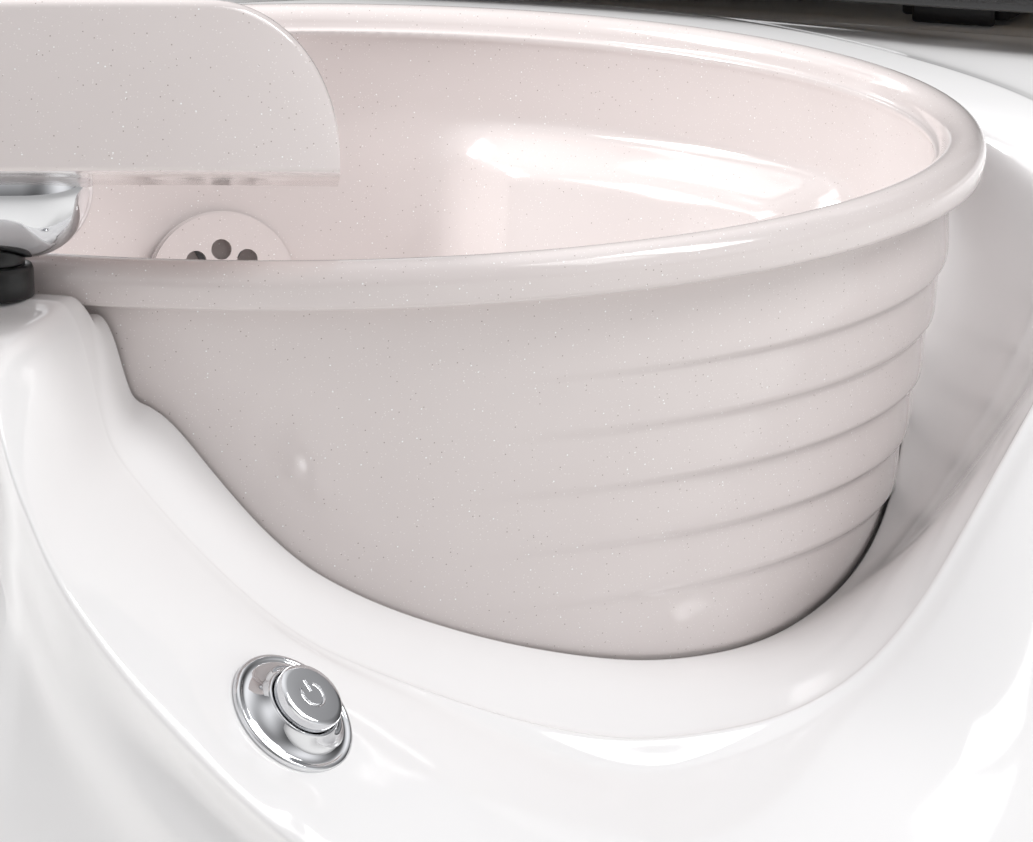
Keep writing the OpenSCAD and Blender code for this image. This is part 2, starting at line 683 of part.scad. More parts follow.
door_w = 300;
door_h = 230;
door_z = 80;
door_x = -door_w / 2;
module service_door()
    color(white) at_floor() difference() {
        union() {
            box(door_x + 2, -door_x - 2, pedestal_back - 5, pedestal_back, door_z + 2,
                door_z + door_h - 2);
            for (z = [door_z + 30, door_z + door_h - 60])
                translate([door_x + 4, pedestal_back + 5, z]) cylinder(h = 30, r = 5);
        }
        translate([door_x + 4, pedestal_back + 5, 0]) cylinder(h = 400, r = 3.05);
        translate([120, pedestal_back - 10, door_z + door_h / 2]) rotate([-90, 0, 0])
            cylinder(h = 20, r = 6.05);
    }
module door_hinge_pins()
    color(chrome) at_floor() for (z = [door_z + 30, door_z + door_h - 60])
        translate([door_x + 4, pedestal_back + 5, z - 8]) {
            cylinder(h = 46, r = 3);
            translate([0, 0, -6]) cylinder(h = 6, r = 5);
            translate([-10, -5, -6]) cube([7.5, 10, 6]);
        }
module door_latch()
    color(chrome) at_floor() translate([120, pedestal_back, door_z + door_h / 2]) rotate([-90, 0, 0]) {
        translate([0, 0, -9]) cylinder(h = 12, r = 6);
        translate([0, 0, 0.4]) cylinder(h = 7, r = 14);
        translate([-3, -12, 7]) cube([6, 24, 6]);
        translate([-5, -2, -12]) cube([10, 40, 4]);
    }
module power_inlet()
    color(black_plastic) at_floor() translate([250, pedestal_back, 60]) rotate([-90, 0, 0]) {
        translate([0, 0, -25]) cylinder(h = 25, r = 13.8);
        difference() {
            translate([0, 0, 0.1]) cylinder(h = 3, r = 20);
            translate([0, 0, 1]) cylinder(h = 5, r = 10);
        }
    }

base_shell();
pedestal_shell();
base_frame();
leveling_feet();
bowl();
bowl_gasket();
drain_flange();
drain_stopper();
drain_trap();
jet_housing();
jet_cap();
jet_impeller();
jet_motor();
faucet_body();
faucet_spout();
faucet_lever();
switch_escutcheon();
switch_knob();
switch_body();
footrest_bush();
footrest_collar();
footrest_post();
footrest_clamp();
footrest_barrel();
footrest_bracket();
footrest_screws();
footrest_shell();
seat_rails();
seat_carriage();
side_plates();
seat_pan();
seat_cushion();
seat_valance();
recline_lever();
backrest_frame();
backrest_pins();
backrest_panel();
backrest_cushion();
headrest_posts();
headrest_cushion();
arm_left();
arm_right();
arm_pad_left();
arm_pad_right();
arm_pins();
tray_bracket_left();
tray_bracket_right();
tray_left();
tray_right();
service_door();
door_hinge_pins();
door_latch();
power_inlet();
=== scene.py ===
"""Pedicure spa chair: the finished look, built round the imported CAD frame."""
import json
import math

import bmesh
import bpy
import numpy as np
from mathutils import Matrix, Vector
from mathutils.bvhtree import BVHTree


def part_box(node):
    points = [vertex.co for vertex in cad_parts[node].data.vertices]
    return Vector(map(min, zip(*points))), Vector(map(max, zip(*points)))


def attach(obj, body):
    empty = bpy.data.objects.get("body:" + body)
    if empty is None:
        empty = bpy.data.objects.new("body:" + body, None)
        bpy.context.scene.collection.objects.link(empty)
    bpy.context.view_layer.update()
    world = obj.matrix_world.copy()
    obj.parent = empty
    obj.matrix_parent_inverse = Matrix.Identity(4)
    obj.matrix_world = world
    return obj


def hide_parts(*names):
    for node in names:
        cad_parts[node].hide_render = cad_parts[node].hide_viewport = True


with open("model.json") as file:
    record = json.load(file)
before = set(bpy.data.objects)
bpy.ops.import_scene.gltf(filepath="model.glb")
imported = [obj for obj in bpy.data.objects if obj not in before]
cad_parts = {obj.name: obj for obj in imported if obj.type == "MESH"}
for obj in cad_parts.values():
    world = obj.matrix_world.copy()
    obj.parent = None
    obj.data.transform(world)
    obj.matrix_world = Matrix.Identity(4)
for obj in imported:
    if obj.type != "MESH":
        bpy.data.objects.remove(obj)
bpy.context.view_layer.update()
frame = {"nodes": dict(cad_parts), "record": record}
nodes = frame["nodes"]
slot_of = {part["node"]: part["material_slot"] for part in frame["record"]["subparts"]}

# ---- Camera and studio -------------------------------------------------------------
# A long lens looks down a little at the foot bowl from the front right, close enough
# that the bowl, the column and the push switch fill the view.

bowl_low, bowl_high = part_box("bowl")
rim_centre = Vector(((bowl_low.x + bowl_high.x) / 2, (bowl_low.y + bowl_high.y) / 2, bowl_high.z))
view_azimuth = math.radians(22.0)
view_elevation = math.radians(10.98)
view_distance = 3.0
view_right = Vector((math.cos(view_azimuth), math.sin(view_azimuth), 0.0))
towards_camera = Vector((
    math.sin(view_azimuth) * math.cos(view_elevation),
    -math.cos(view_azimuth) * math.cos(view_elevation),
    math.sin(view_elevation),
))
view_up = towards_camera.cross(view_right)
camera_data = bpy.data.cameras.new("studio_camera")
camera_data.lens = 257.7
camera_data.clip_end = 100.0
camera = bpy.data.objects.new("studio_camera", camera_data)
bpy.context.scene.collection.objects.link(camera)
camera.location = rim_centre + view_distance * towards_camera
look_at = rim_centre + 0.0893 * view_right - 0.1223 * view_up
camera.rotation_euler = (look_at - camera.location).to_track_quat("-Z", "Y").to_euler()
bpy.context.scene.camera = camera


def linear(hex_colour):
    """An sRGB hex colour as linear red, green, blue and alpha."""
    channels = [int(hex_colour[i:i + 2], 16) / 255 for i in (1, 3, 5)]
    return [c / 12.92 if c <= 0.04045 else ((c + 0.055) / 1.055) ** 2.4 for c in channels] + [1.0]


def add(tree, kind, settings=None, **links):
    """Adds a node, sets its properties, and sets or links its inputs by name or number."""
    node = tree.nodes.new(kind)
    for name, value in (settings or {}).items():
        setattr(node, name, value)
    for name, value in links.items():
        key = int(name[1:]) if name[0] == "i" and name[1:].isdigit() else name.replace("_", " ")
        if isinstance(value, bpy.types.NodeSocket):
            tree.links.new(value, node.inputs[key])
        else:
            node.inputs[key].default_value = value
    return node


world = bpy.data.worlds.new("studio_world")
bpy.context.scene.world = world
world.use_nodes = True
world.node_tree.nodes.clear()
sky = world.node_tree
direction = add(sky, "ShaderNodeTexCoord").outputs["Generated"]


def from_direction(azimuth, elevation):
    """The direction at an azimuth from the front towards the right, and an elevation."""
    a, e = math.radians(azimuth), math.radians(elevation)
    return Vector((math.sin(a) * math.cos(e), -math.cos(a) * math.cos(e), math.sin(e)))


# The room's own light comes in broad soft patches: azimuth, elevation, strength
room_patches = [(0, 8, 0.25), (90, 8, 1.15), (225, 8, 2.7), (22, 36, 0.5), (337, 36, 0.95),
                (120, 62, 0.70), (180, 62, 0.60), (0, 90, 0.55)]
sky_strength = 0.02
for azimuth, elevation, strength in room_patches:
    facing = add(sky, "ShaderNodeVectorMath", {"operation": "DOT_PRODUCT"}, i0=direction,
                 i1=from_direction(azimuth, elevation))
    falloff = add(sky, "ShaderNodeMath", {"operation": "MULTIPLY_ADD"}, i0=facing.outputs["Value"],
                  i1=9.5, i2=-9.5)
    patch = add(sky, "ShaderNodeMath", {"operation": "EXPONENT"}, i0=falloff.outputs[0])
    sky_strength = add(sky, "ShaderNodeMath", {"operation": "MULTIPLY_ADD"}, i0=patch.outputs[0],
                       i1=strength, i2=sky_strength).outputs[0]
sky_background = add(sky, "ShaderNodeBackground", Color=linear("#FAFAFC"), Strength=sky_strength)
add(sky, "ShaderNodeOutputWorld", Surface=sky_background.outputs["Background"])

# Soft boxes hang in pairs on both sides
soft_boxes = [
    ("soft_box_right_front", 78, 42, 2.6, 0.55, 1.1, 6.0),
    ("soft_box_right_back", 99, 42, 2.6, 0.55, 1.1, 26.0),
    ("soft_box_left_front", -78, 42, 2.6, 0.55, 1.1, 68.0),
    ("soft_box_left_back", -99, 42, 2.6, 0.55, 1.1, 6.0),
]
for name, azimuth, elevation, distance, width, height, power in soft_boxes:
    lamp = bpy.data.lights.new(name, "AREA")
    lamp.shape = "RECTANGLE"
    lamp.size = width
    lamp.size_y = height
    lamp.energy = power
    away = from_direction(azimuth, elevation)
    holder = bpy.data.objects.new(name, lamp)
    bpy.context.scene.collection.objects.link(holder)
    holder.location = rim_centre + distance * away
    holder.rotation_euler = away.to_track_quat("Z", "Y").to_euler()


def mesh_piece(name, vertices, faces, smooth=True):
    """A mesh object at the origin, with its doubles merged and its faces turned outwards."""
    mesh = bpy.data.meshes.new(name)
    mesh.from_pydata([tuple(v) for v in vertices], [], faces)
    work = bmesh.new()
    work.from_mesh(mesh)
    bmesh.ops.remove_doubles(work, verts=work.verts, dist=1e-6)
    bmesh.ops.recalc_face_normals(work, faces=work.faces)
    work.to_mesh(mesh)
    work.free()
    for polygon in mesh.polygons:
        polygon.use_smooth = smooth
    piece = bpy.data.objects.new(name, mesh)
    bpy.context.scene.collection.objects.link(piece)
    return piece


def finish_piece(piece, body, material, replaces=()):
    """Gives a piece its material, its body, and the CAD nodes that it stands for."""
    piece.data.materials.clear()
    piece.data.materials.append(material)
    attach(piece, body)
    if replaces:
        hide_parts(*replaces)


def principled(name, colour=None, **sockets):
    """A material with one Principled surface, and its node tree."""
    material = bpy.data.materials.new(name)
    material.use_nodes = True
    tree = material.node_tree
    tree.nodes.clear()
    shader = add(tree, "ShaderNodeBsdfPrincipled")
    for socket, value in sockets.items():
        shader.inputs[socket.replace("_", " ")].default_value = value
    if colour:
        shader.inputs["Base Color"].default_value = linear(colour)
    add(tree, "ShaderNodeOutputMaterial", Surface=shader.outputs["BSDF"])
    return material, tree, shader


floor = mesh_piece("studio_floor", [(x * 30, y * 30, 0) for x, y in ((-1, -1), (1, -1), (1, 1), (-1, 1))],
                   [(0, 1, 2, 3)], smooth=False)
floor_material, _, _ = principled("matt_paper_floor", "#E9E8E6", Roughness=0.8)
floor.data.materials.append(floor_material)

# ---- Tub surround ------------------------------------------------------------------
# One fibreglass moulding in high gloss white gelcoat. It cradles the bowl, rises to a
# column in front, and rolls from the gutter over a crease and a ribbon to its skirt.

millimetre = 0.001
rim_r = 280.0
shell_t = 7.0
base_half_w, base_front, seam_y = 375.0, 402.0, 345.0
floor_z = -1000 * rim_centre.z
skirt_gap = 12.0
column_z = -11.0
wall_line = [(-226, 140), (-221, 170), (-214, 190), (-203, 210), (-194, 220), (-182, 229),
             (-160, 239), (-135, 245), (-112, 250), (-70, 258.5), (-42, 264), (-17, 266)]
seat_line = [(0, -22), (6.3, -22), (7.5, -32), (8.5, -54), (11, -60), (16, -90), (22, -120),
             (30, -140), (45, -163), (60, -177), (74, -181), (88, -174), (102, -152),
             (113, -115), (125, -62), (137, -22), (180, -22)]
crease_r = [(0, 300), (8, 300), (15, 298), (30, 294), (45, 288), (60, 292), (75, 312),
            (88, 328), (105, 336), (125, 334), (150, 326), (180, 322)]
crease_z = [(0, column_z), (5.2, column_z), (6.6, -20), (8.6, -62), (11, -80), (15, -104),
            (22, -137), (30, -158), (40, -179), (50, -191), (60, -191), (70, -172),
            (80, -108), (90, -62), (105, -34), (137, -14), (180, -5)]
riser_h = [(0, 0), (27, 0), (41, 7), (47, 10), (60, 3), (75, 0), (180, 0)]
ridge_r = [(0, 384), (5, 380), (7, 388), (15, 395), (22, 397)]
ridge_z = [(0, -34), (5, -34), (7, -60), (9.3, -93), (13.4, -131), (17, -157), (22, -190),
           (30, -222), (42, -248), (58, -256), (75, -235), (90, -190), (110, -95),
           (122, -36), (132, -14), (180, -12)]


def along(stations, t):
    """A cubic through the stations that never overshoots them."""
    xs, ys = np.array(stations, float).T
    slopes = np.diff(ys) / np.diff(xs)
    tangents = np.zeros(len(xs))
    for i in range(1, len(xs) - 1):
        a, b = slopes[i - 1], slopes[i]
        tangents[i] = 2 * a * b / (a + b) if a * b > 0 else 0.0
    i = int(np.clip(np.searchsorted(xs, t, side="right") - 1, 0, len(xs) - 2))
    h = xs[i + 1] - xs[i]
    u = float(np.clip((t - xs[i]) / h, 0, 1))
    return (ys[i] * (1 + 2 * u) * (1 - u) ** 2 + h * tangents[i] * u * (1 - u) ** 2
            + ys[i + 1] * u * u * (3 - 2 * u) + h * tangents[i + 1] * u * u * (u - 1))


def soft(stations, t):
    """The same curve averaged over a few degrees, less where it turns fast on the column."""
    reach = min(3.0, 0.05 * t + max(0.0, 0.3 * (t - 10)))
    return sum(along(stations, abs(t + reach * k)) for k in (-1, -0.5, 0, 0.5, 1)) / 5


def ease(x):
    x = min(1.0, max(0.0, x))
    return x * x * (3 - 2 * x)


def mix(a, b, w):
    return a + (b - a) * w


def outline_r(t):
    power, depth = (2.1, base_front) if t < 90 else (16, seam_y)
    s, c = abs(math.sin(math.radians(t))), abs(math.cos(math.radians(t)))
    return ((s / base_half_w) ** power + (c / depth) ** power) ** (-1 / power)


def nested(t):
    """1 where the rim lies in the moulding, 0 where the cradle is open beside the bowl."""
    return 1 - ease((t - 6.3) / 2.2) if t < 90 else ease((t - 112) / 26)


def tub_section(t):
    """Radius and height of the tub's outer face at one angle from the front, from the
    bowl outwards and down, then back along its inner face."""
    w = nested(t)
    z1 = soft(seat_line, t)
    rc = along(wall_line, z1) + 1.2
    r3, z3, h = soft(crease_r, t), soft(crease_z, t), soft(riser_h, t)
    ro = outline_r(t)
    r5 = min(along(ridge_r, t), ro) if t < 22 else ro
    z5 = soft(ridge_z, t)
    foot = floor_z + skirt_gap
    span, fall = r3 - rc, z3 - z1
    open_part = [(rc, z1), (rc + 2, z1 + 0.01 * fall), (rc + 0.16 * span, z1 + 0.09 * fall),
                 (rc + 0.38 * span, z1 + 0.27 * fall), (rc + 0.62 * span, z1 + 0.54 * fall),
                 (rc + 0.82 * span, z1 + 0.80 * fall), (r3 - 2.8, z3 - 0.04 * fall)]
    nested_part = [(rc, z1), (rc + 4, z1), (rim_r - 4, z1), (rim_r + 1.5, z1 + 1),
                   (rim_r + 2, mix(z1, z3, 0.7)), (rim_r + 4.5, z3 - 1.2), (rim_r + 9, z3 - 0.4)]
    points = [(mix(a[0], b[0], w), mix(a[1], b[1], w)) for a, b in zip(open_part, nested_part)]
    on_top = 1 - ease((t - 4.6) / 1.6)
    # The crease is a narrow bead that a tool leaves along the gutter's outer edge
    k = ease((t - 21) / 14) * (1 - ease((t - 94) / 18))
    points += [(r3 - 0.9, z3 + 1.1 * k), (r3 + 0.9, z3 + 1.1 * k), (r3 + 2.6, z3 - 0.5 - 0.1 * h),
               (r3 + 7, z3 - 0.75 * h - 1.2), (r3 + 12, z3 - h - 2.0)]
    r4 = r3 + 12
    z4 = z3 - h - 2.0
    drop = z5 - z4
    for share, low, flat in ((0.25, 0.13, 0.0), (0.5, 0.30, 0.02), (0.72, 0.53, 0.12), (0.88, 0.75, 0.42)):
        points.append((mix(r4, r5, share), z4 + drop * mix(low, flat, on_top)))
    # Under the ridge a tight hollow turns out again into a softer second fold
    f = ease((t - 9) / 9) * (1 - ease((t - 62) / 40))
    points += [(r5 - 1.5, z5 + 3), (r5 + 0.5, z5 - 0.5), (r5 - 0.5 - 1.5 * f, z5 - 5),
               (r5 - 1 - 6 * f, z5 - 13), (r5 - 2 - 5 * f, z5 - 21), (r5 - 3 + 2 * f, z5 - 31),
               (r5 - 3 + 4.5 * f, z5 - 41), (r5 - 4 + 4 * f, z5 - 53), (r5 - 5 + f, z5 - 68)]
    low = foot + 60
    points += [(ro - 5, mix(z5 - 68, low, 0.35)), (ro - 2, mix(z5 - 68, low, 0.7)), (ro + 1.5, low),
               (ro + 2, foot + 26), (ro + 1, foot + 22), (ro - 3, foot + 19.5), (ro - 15, foot + 18),
               (ro - 18, foot + 15), (ro - 20, foot)]
    inner = [(ro - 20 - shell_t, foot), (ro - 18 - shell_t, foot + 24), (ro - shell_t, low),
             (ro - 4 - shell_t, mix(z5, foot, 0.5)), (r5 - shell_t, z5 - shell_t - 4),
             (mix(r3, r5, 0.6), mix(z3, z5, 0.5) - shell_t - 6), (r3 + 8 * w, z3 - h - shell_t - 3),
             (mix(rc, r3, 0.5) + 8 * w, mix(z1, z3, 0.4) - shell_t - 4), (rc + 0.6 + 6 * w, z1 - shell_t)]
    return points + inner


# Angles crowd where the column's sides and the seam's corners turn fast
tub_turns = sorted({*np.arange(0, 5, 1.25), *np.arange(5, 10, 0.4), *np.arange(10, 24, 1.4),
                    *np.arange(24, 33, 3.0), *np.arange(33, 123, 4.5), *np.arange(123, 143, 1.6),
                    *np.arange(144, 180, 4.5), 180.0})
tub_sections = {t: tub_section(t) for t in tub_turns}
around = [(t, 1) for t in tub_turns] + [(t, -1) for t in reversed(tub_turns) if 0 < t < 180]


def from_bowl(r, t, z):
    """A point at radius r and height z from the bowl's rim centre, t degrees from the front."""
    a = math.radians(t)
    return rim_centre + Vector((r * math.sin(a), -r * math.cos(a), z)) * millimetre


tub_points = [from_bowl(r, side * t, z) for t, side in around for r, z in tub_sections[t]]
per_section = len(tub_sections[0.0])
tub_faces = []
for j in range(len(around)):
    k = (j + 1) % len(around)
    for i in range(per_section):
        l = (i + 1) % per_section
        tub_faces.append((j * per_section + i, j * per_section + l, k * per_section + l, k * per_section + i))

# The switch sits on a small flat, blended into the ribbon round it
switch_yaw, switch_tilt = math.radians(70.6), math.radians(46.4)
switch_normal = Vector((math.sin(switch_tilt) * math.sin(switch_yaw),
                        -math.sin(switch_tilt) * math.cos(switch_yaw), math.cos(switch_tilt)))
switch_seat = from_bowl(347, 21.5, -153.5)
flat_r, blend_r = 0.027, 0.022
for point in tub_points:
    offset = point - switch_seat
    height = offset.dot(switch_normal)
    reach = (offset - height * switch_normal).length
    if abs(height) < 0.02 and reach < flat_r + blend_r:
        point -= switch_normal * (height - 0.0003) * (1 - ease((reach - flat_r) / blend_r))


def subdivide(piece, levels):
    """Adds a subdivision surface and applies it."""
    modifier = piece.modifiers.new("smooth", "SUBSURF")
    modifier.levels = levels
    modifier.render_levels = levels
    apply_modifiers(piece)


def apply_modifiers(piece):
    """Turns a piece's modifiers into its plain mesh."""
    graph = bpy.context.evaluated_depsgraph_get()
    final = bpy.data.meshes.new_from_object(piece.evaluated_get(graph))
    piece.modifiers.clear()
    piece.data = final


white_gelcoat, tree, shader = principled("white_gelcoat", "#F4F3F3", Roughness=0.10, IOR=1.52,
                                         Coat_Weight=0.3, Coat_Roughness=0.04)
place = add(tree, "ShaderNodeTexCoord").outputs["Object"]
orange_peel = add(tree, "ShaderNodeTexNoise", Vector=place, Scale=90.0, Detail=2.0)
peel_bump = add(tree, "ShaderNodeBump", Height=orange_peel.outputs["Fac"], Strength=0.02, Distance=0.0006)
tree.links.new(peel_bump.outputs["Normal"], shader.inputs["Normal"])

tub = mesh_piece("tub_surround", tub_points, tub_faces)
subdivide(tub, 2)
finish_piece(tub, "base", white_gelcoat, ["base_shell"])

# ---- Foot bowl ---------------------------------------------------------------------
# A round bowl of pearl grey gelcoat full of fine glitter. Its rim is rolled outwards,
# lapped bands fade in round its sides, and a heel shelf is moulded into its back wall.

bowl_wall = 6.0
bowl_depth = 226.0
lip_r = 9.0
band_drop, band_pitch, band_count = 52.0, 23.5, 5
shelf_drop = 54.0


def band_swell(t, z):
    """How far the lapped bands stand out of the wall: each grows downwards, then steps back."""
    sides = ease((t - 34) / 42) * (1 - ease((t - 128) / 20))
    swell = 0.0
    for i in range(band_count):
        edge = -band_drop - band_pitch * i
        grown = 1 - (z - edge) / band_pitch
        step = ease((z - edge + 0.8) / 1.6)
        if -0.8 < z - edge < band_pitch:
            swell += 2.4 * ease(grown) * step
    return swell * sides


def shelf_depth(t, z):
    """How far the heel shelf stands into the bowl."""
    across = ease((t - 134) / 10) * (1 - ease((t - 176) / 12))
    below = -shelf_drop - 6 - z
    return across * (22 * ease((below + 12) / 18) + 0.22 * max(0.0, below))


outer_z = np.concatenate([np.linspace(-226, -200, 10)[:-1], np.linspace(-200, -20, 121)])
rim_arc = [(rim_r - lip_r + lip_r * math.cos(a), -lip_r + lip_r * math.sin(a))
           for a in np.radians(np.arange(0, 171, 9))]
inner_z = np.linspace(-13, -206, 80)


def bowl_section(t):
    section = [(0.01, -bowl_depth), (70, -bowl_depth)]
    section += [(along(wall_line, z) + band_swell(abs(t), z), z) for z in outer_z]
    section += [(267, -17.4), (269, -17.6), (276, -17.5), (278, -17.2), (278.9, -16.4), (279.2, -15.2),
                (279.7, -12)]
    section += rim_arc
    section += [(261.9, -8.4), (261.2, -9.3), (260.4, -9.8), (258.9, -10.1)]
    section += [(along(wall_line, z) - bowl_wall - shelf_depth(t % 360, z), z) for z in inner_z]
    section += [(198, -211), (188, -215), (170, -218), (120, -219.5), (60, -220), (0.01, -220)]
    return section


bowl_turns = np.arange(0, 360, 1.5)
bowl_points = [from_bowl(r, t, z) for t in bowl_turns
               for r, z in bowl_section(t if t <= 180 else t - 360)]
per_bowl = len(bowl_section(0.0))
bowl_faces = []
for j in range(len(bowl_turns)):
    k = (j + 1) % len(bowl_turns)
    for i in range(per_bowl - 1):
        bowl_faces.append((j * per_bowl + i, j * per_bowl + i + 1, k * per_bowl + i + 1, k * per_bowl + i))
bowl = mesh_piece("foot_bowl", bowl_points, bowl_faces)

# Glitter flakes are 0.5 mm; they are drawn a little coarser so that they show. The pure white flakes are
# painted glints: base colour standing in for the light that the flakes throw back
glitter_gelcoat, tree, shader = principled("glitter_gelcoat", Roughness=0.13, IOR=1.52, Coat_Weight=0.4,
                                           Coat_Roughness=0.05)
place = add(tree, "ShaderNodeTexCoord").outputs["Object"]
body_tone = add(tree, "ShaderNodeTexNoise", Vector=place, Scale=14.0, Detail=2.0)
ground = add(tree, "ShaderNodeMix", {"data_type": "RGBA"}, Factor=body_tone.outputs["Fac"])
ground.inputs["A"].default_value = linear("#DAD1CF")
ground.inputs["B"].default_value = linear("#E0D8D6")
colour = ground.outputs["Result"]
# The white flakes are painted highlights, glints put in as base colour; the other two kinds are flake tones
for name, spacing, size, share, flake in (("painted_glint", 2.4, 0.13, 0.14, "#FFFFFF"),
                                          ("dark", 2.0, 0.13, 0.20, "#A99C97"),
                                          ("fine", 1.2, 0.20, 0.34, "#EEE8E6")):
    cells = add(tree, "ShaderNodeTexVoronoi", Vector=place, Scale=1000 / spacing)
    near = add(tree, "ShaderNodeMath", {"operation": "LESS_THAN"}, i0=cells.outputs["Distance"], i1=size)
    pick = add(tree, "ShaderNodeSeparateColor", Color=cells.outputs["Color"])
    chosen = add(tree, "ShaderNodeMath", {"operation": "LESS_THAN"}, i0=pick.outputs["Red"], i1=share)
    flakes = add(tree, "ShaderNodeMath", {"operation": "MULTIPLY"}, i0=near.outputs[0], i1=chosen.outputs[0])
    layer = add(tree, "ShaderNodeMix", {"data_type": "RGBA"}, Factor=flakes.outputs[0])
    tree.links.new(colour, layer.inputs["A"])
    layer.inputs["B"].default_value = linear(flake)
    colour = layer.outputs["Result"]
tree.links.new(colour, shader.inputs["Base Color"])
finish_piece(bowl, "base", glitter_gelcoat, ["bowl"])

# ---- Footrest ----------------------------------------------------------------------
# A glittering gelcoat pad with a convex front, on a polished chrome barrel that it tilts
# on. The barrel stands on a post in two black plastic rings on the column.

barrel_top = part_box("footrest_barrel")[1].z
collar_low, collar_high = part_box("footrest_collar")
post_axis = Vector(((collar_low.x + collar_high.x) / 2, (collar_low.y + collar_high.y) / 2, 0.0))
barrel_r = 0.0255
barrel_half = 0.012
barrel_z = barrel_top - barrel_r
# Parked, it is swung to one side with its front edge raised
footrest_swivel, footrest_tilt = math.radians(22), math.radians(-14)
barrel_place = (Matrix.Translation(post_axis + Vector((0, 0, barrel_z)))
                @ Matrix.Rotation(footrest_swivel, 4, "Z"))
footrest_place = barrel_place @ Matrix.Rotation(footrest_tilt, 4, "X")
footrest_len, footrest_h = 256.0, 62.0
footrest_bottom = 3.0


def footrest_section(x):
    """Outline of the pad across its depth at a place x along its length."""
    edge = footrest_len / 2
    shoulder = (abs(x) - (edge - 46)) / 46
    height = footrest_h - 55 + 55 * math.sqrt(max(0.0, 1 - max(0.0, shoulder) ** 2))
    front = 220 - math.sqrt(293 ** 2 - x * x)
    back = 355 - math.sqrt(312 ** 2 - x * x)
    top = min(7.0, height * 0.45)
    low = 2.0
    outline = []
    for a in np.radians(np.arange(0, 91, 15)):
        outline.append((front + low - low * math.cos(a), low - low * math.sin(a)))
    for a in np.radians(np.arange(0, 91, 15)):
        outline.append((back - low + low * math.sin(a), low - low * math.cos(a)))
    for a in np.radians(np.arange(0, 91, 11.25)):
        outline.append((back - top + top * math.cos(a), height - top + top * math.sin(a)))
    crown_start, crown_end = back - top, front + 4.0
    for share in (0.25, 0.5, 0.75):
        outline.append((mix(crown_start, crown_end, share), height))
    for a in np.radians(np.arange(0, 91, 11.25)):
        outline.append((front + 4.0 - 4.0 * math.sin(a), height - 4.0 + 4.0 * math.cos(a)))
    return outline


spread = np.sin(np.linspace(-math.pi / 2, math.pi / 2, 97))
stations_x = [footrest_len / 2 * math.copysign(abs(s) ** 0.9, s) for s in spread]
pad_sections = [[(x, y, z + footrest_bottom) for y, z in footrest_section(x)] for x in stations_x]
per_pad = len(pad_sections[0])
pad_points = [footrest_place @ (Vector(p) * millimetre) for section in pad_sections for p in section]
pad_faces = [(j * per_pad + i, j * per_pad + (i + 1) % per_pad, (j + 1) * per_pad + (i + 1) % per_pad,
              (j + 1) * per_pad + i) for j in range(len(stations_x) - 1) for i in range(per_pad)]
pad_faces += [tuple(range(per_pad)), tuple(reversed(range(len(pad_points) - per_pad, len(pad_points))))]
pad = mesh_piece("footrest_pad", pad_points, pad_faces)
finish_piece(pad, "footrest", glitter_gelcoat, ["footrest_shell"])

chrome, tree, shader = principled("polished_chrome", "#D9DADC", Metallic=1.0, Roughness=0.035)
place = add(tree, "ShaderNodeTexCoord").outputs["Object"]
wipe = add(tree, "ShaderNodeTexNoise", Vector=place, Scale=60.0, Detail=3.0)
wiped = add(tree, "ShaderNodeMapRange", Value=wipe.outputs["Fac"], To_Min=0.02, To_Max=0.06)
tree.links.new(wiped.outputs["Result"], shader.inputs["Roughness"])

black_plastic, tree, shader = principled("moulded_black_plastic", "#161616", Roughness=0.35, IOR=1.5)
place = add(tree, "ShaderNodeTexCoord").outputs["Object"]
grain = add(tree, "ShaderNodeTexNoise", Vector=place, Scale=900.0, Detail=2.0)
grain_bump = add(tree, "ShaderNodeBump", Height=grain.outputs["Fac"], Strength=0.15, Distance=0.0003)
tree.links.new(grain_bump.outputs["Normal"], shader.inputs["Normal"])


def lathe(name, profile, place, steps=96):
    """A turned piece: the profile's radius and height in millimetres, spun about place's z axis."""
    points, faces = [], []
    for j in range(steps):
        a = 2 * math.pi * j / steps
        points += [place @ (Vector((r * math.cos(a), r * math.sin(a), z)) * millimetre) for r, z in profile]
    count = len(profile)
    for j in range(steps):
        k = (j + 1) % steps
        for i in range(count - 1):
            faces.append((j * count + i, j * count + i + 1, k * count + i + 1, k * count + i))
    return mesh_piece(name, points, faces)


capsule = [(0.001, -barrel_half * 1000 - 25.5)]
capsule += [(25.5 * math.sin(a), -12 - 25.5 * math.cos(a)) for a in np.radians(np.arange(6, 91, 6))]
capsule += [(25.5 * math.cos(a), 12 + 25.5 * math.sin(a)) for a in np.radians(np.arange(0, 85, 6))]
capsule += [(0.001, 12 + 25.5)]
barrel = lathe("footrest_barrel_chrome", capsule, barrel_place @ Matrix.Rotation(math.pi / 2, 4, "Y"))
finish_piece(barrel, "footrest_swivel", chrome, ["footrest_barrel"])
ring_place = Matrix.Translation(post_axis + Vector((0, 0, rim_centre.z)))
collar = lathe("footrest_collar_ring", [(9.2, -11), (15.2, -11), (15.5, -10.4), (15.2, -1), (14.6, 0.6),
                                        (13.8, 1), (9.2, 1), (9.2, -11)], ring_place)
finish_piece(collar, "base", black_plastic, ["footrest_collar"])
clamp = lathe("footrest_clamp_ring", [(9.0, 1.2), (12, 1.2), (12.2, 1.8), (12.1, 7), (11.4, 8), (9.0, 8),
                                      (9.0, 1.2)], ring_place)
finish_piece(clamp, "footrest_post", black_plastic, ["footrest_clamp"])

# ---- Push switch -------------------------------------------------------------------
# A chrome air switch: a hollowed escutcheon with a rolled edge, and a round knob that
# pushes in. A plain power mark, a broken ring and a bar, is cut in the knob's face.

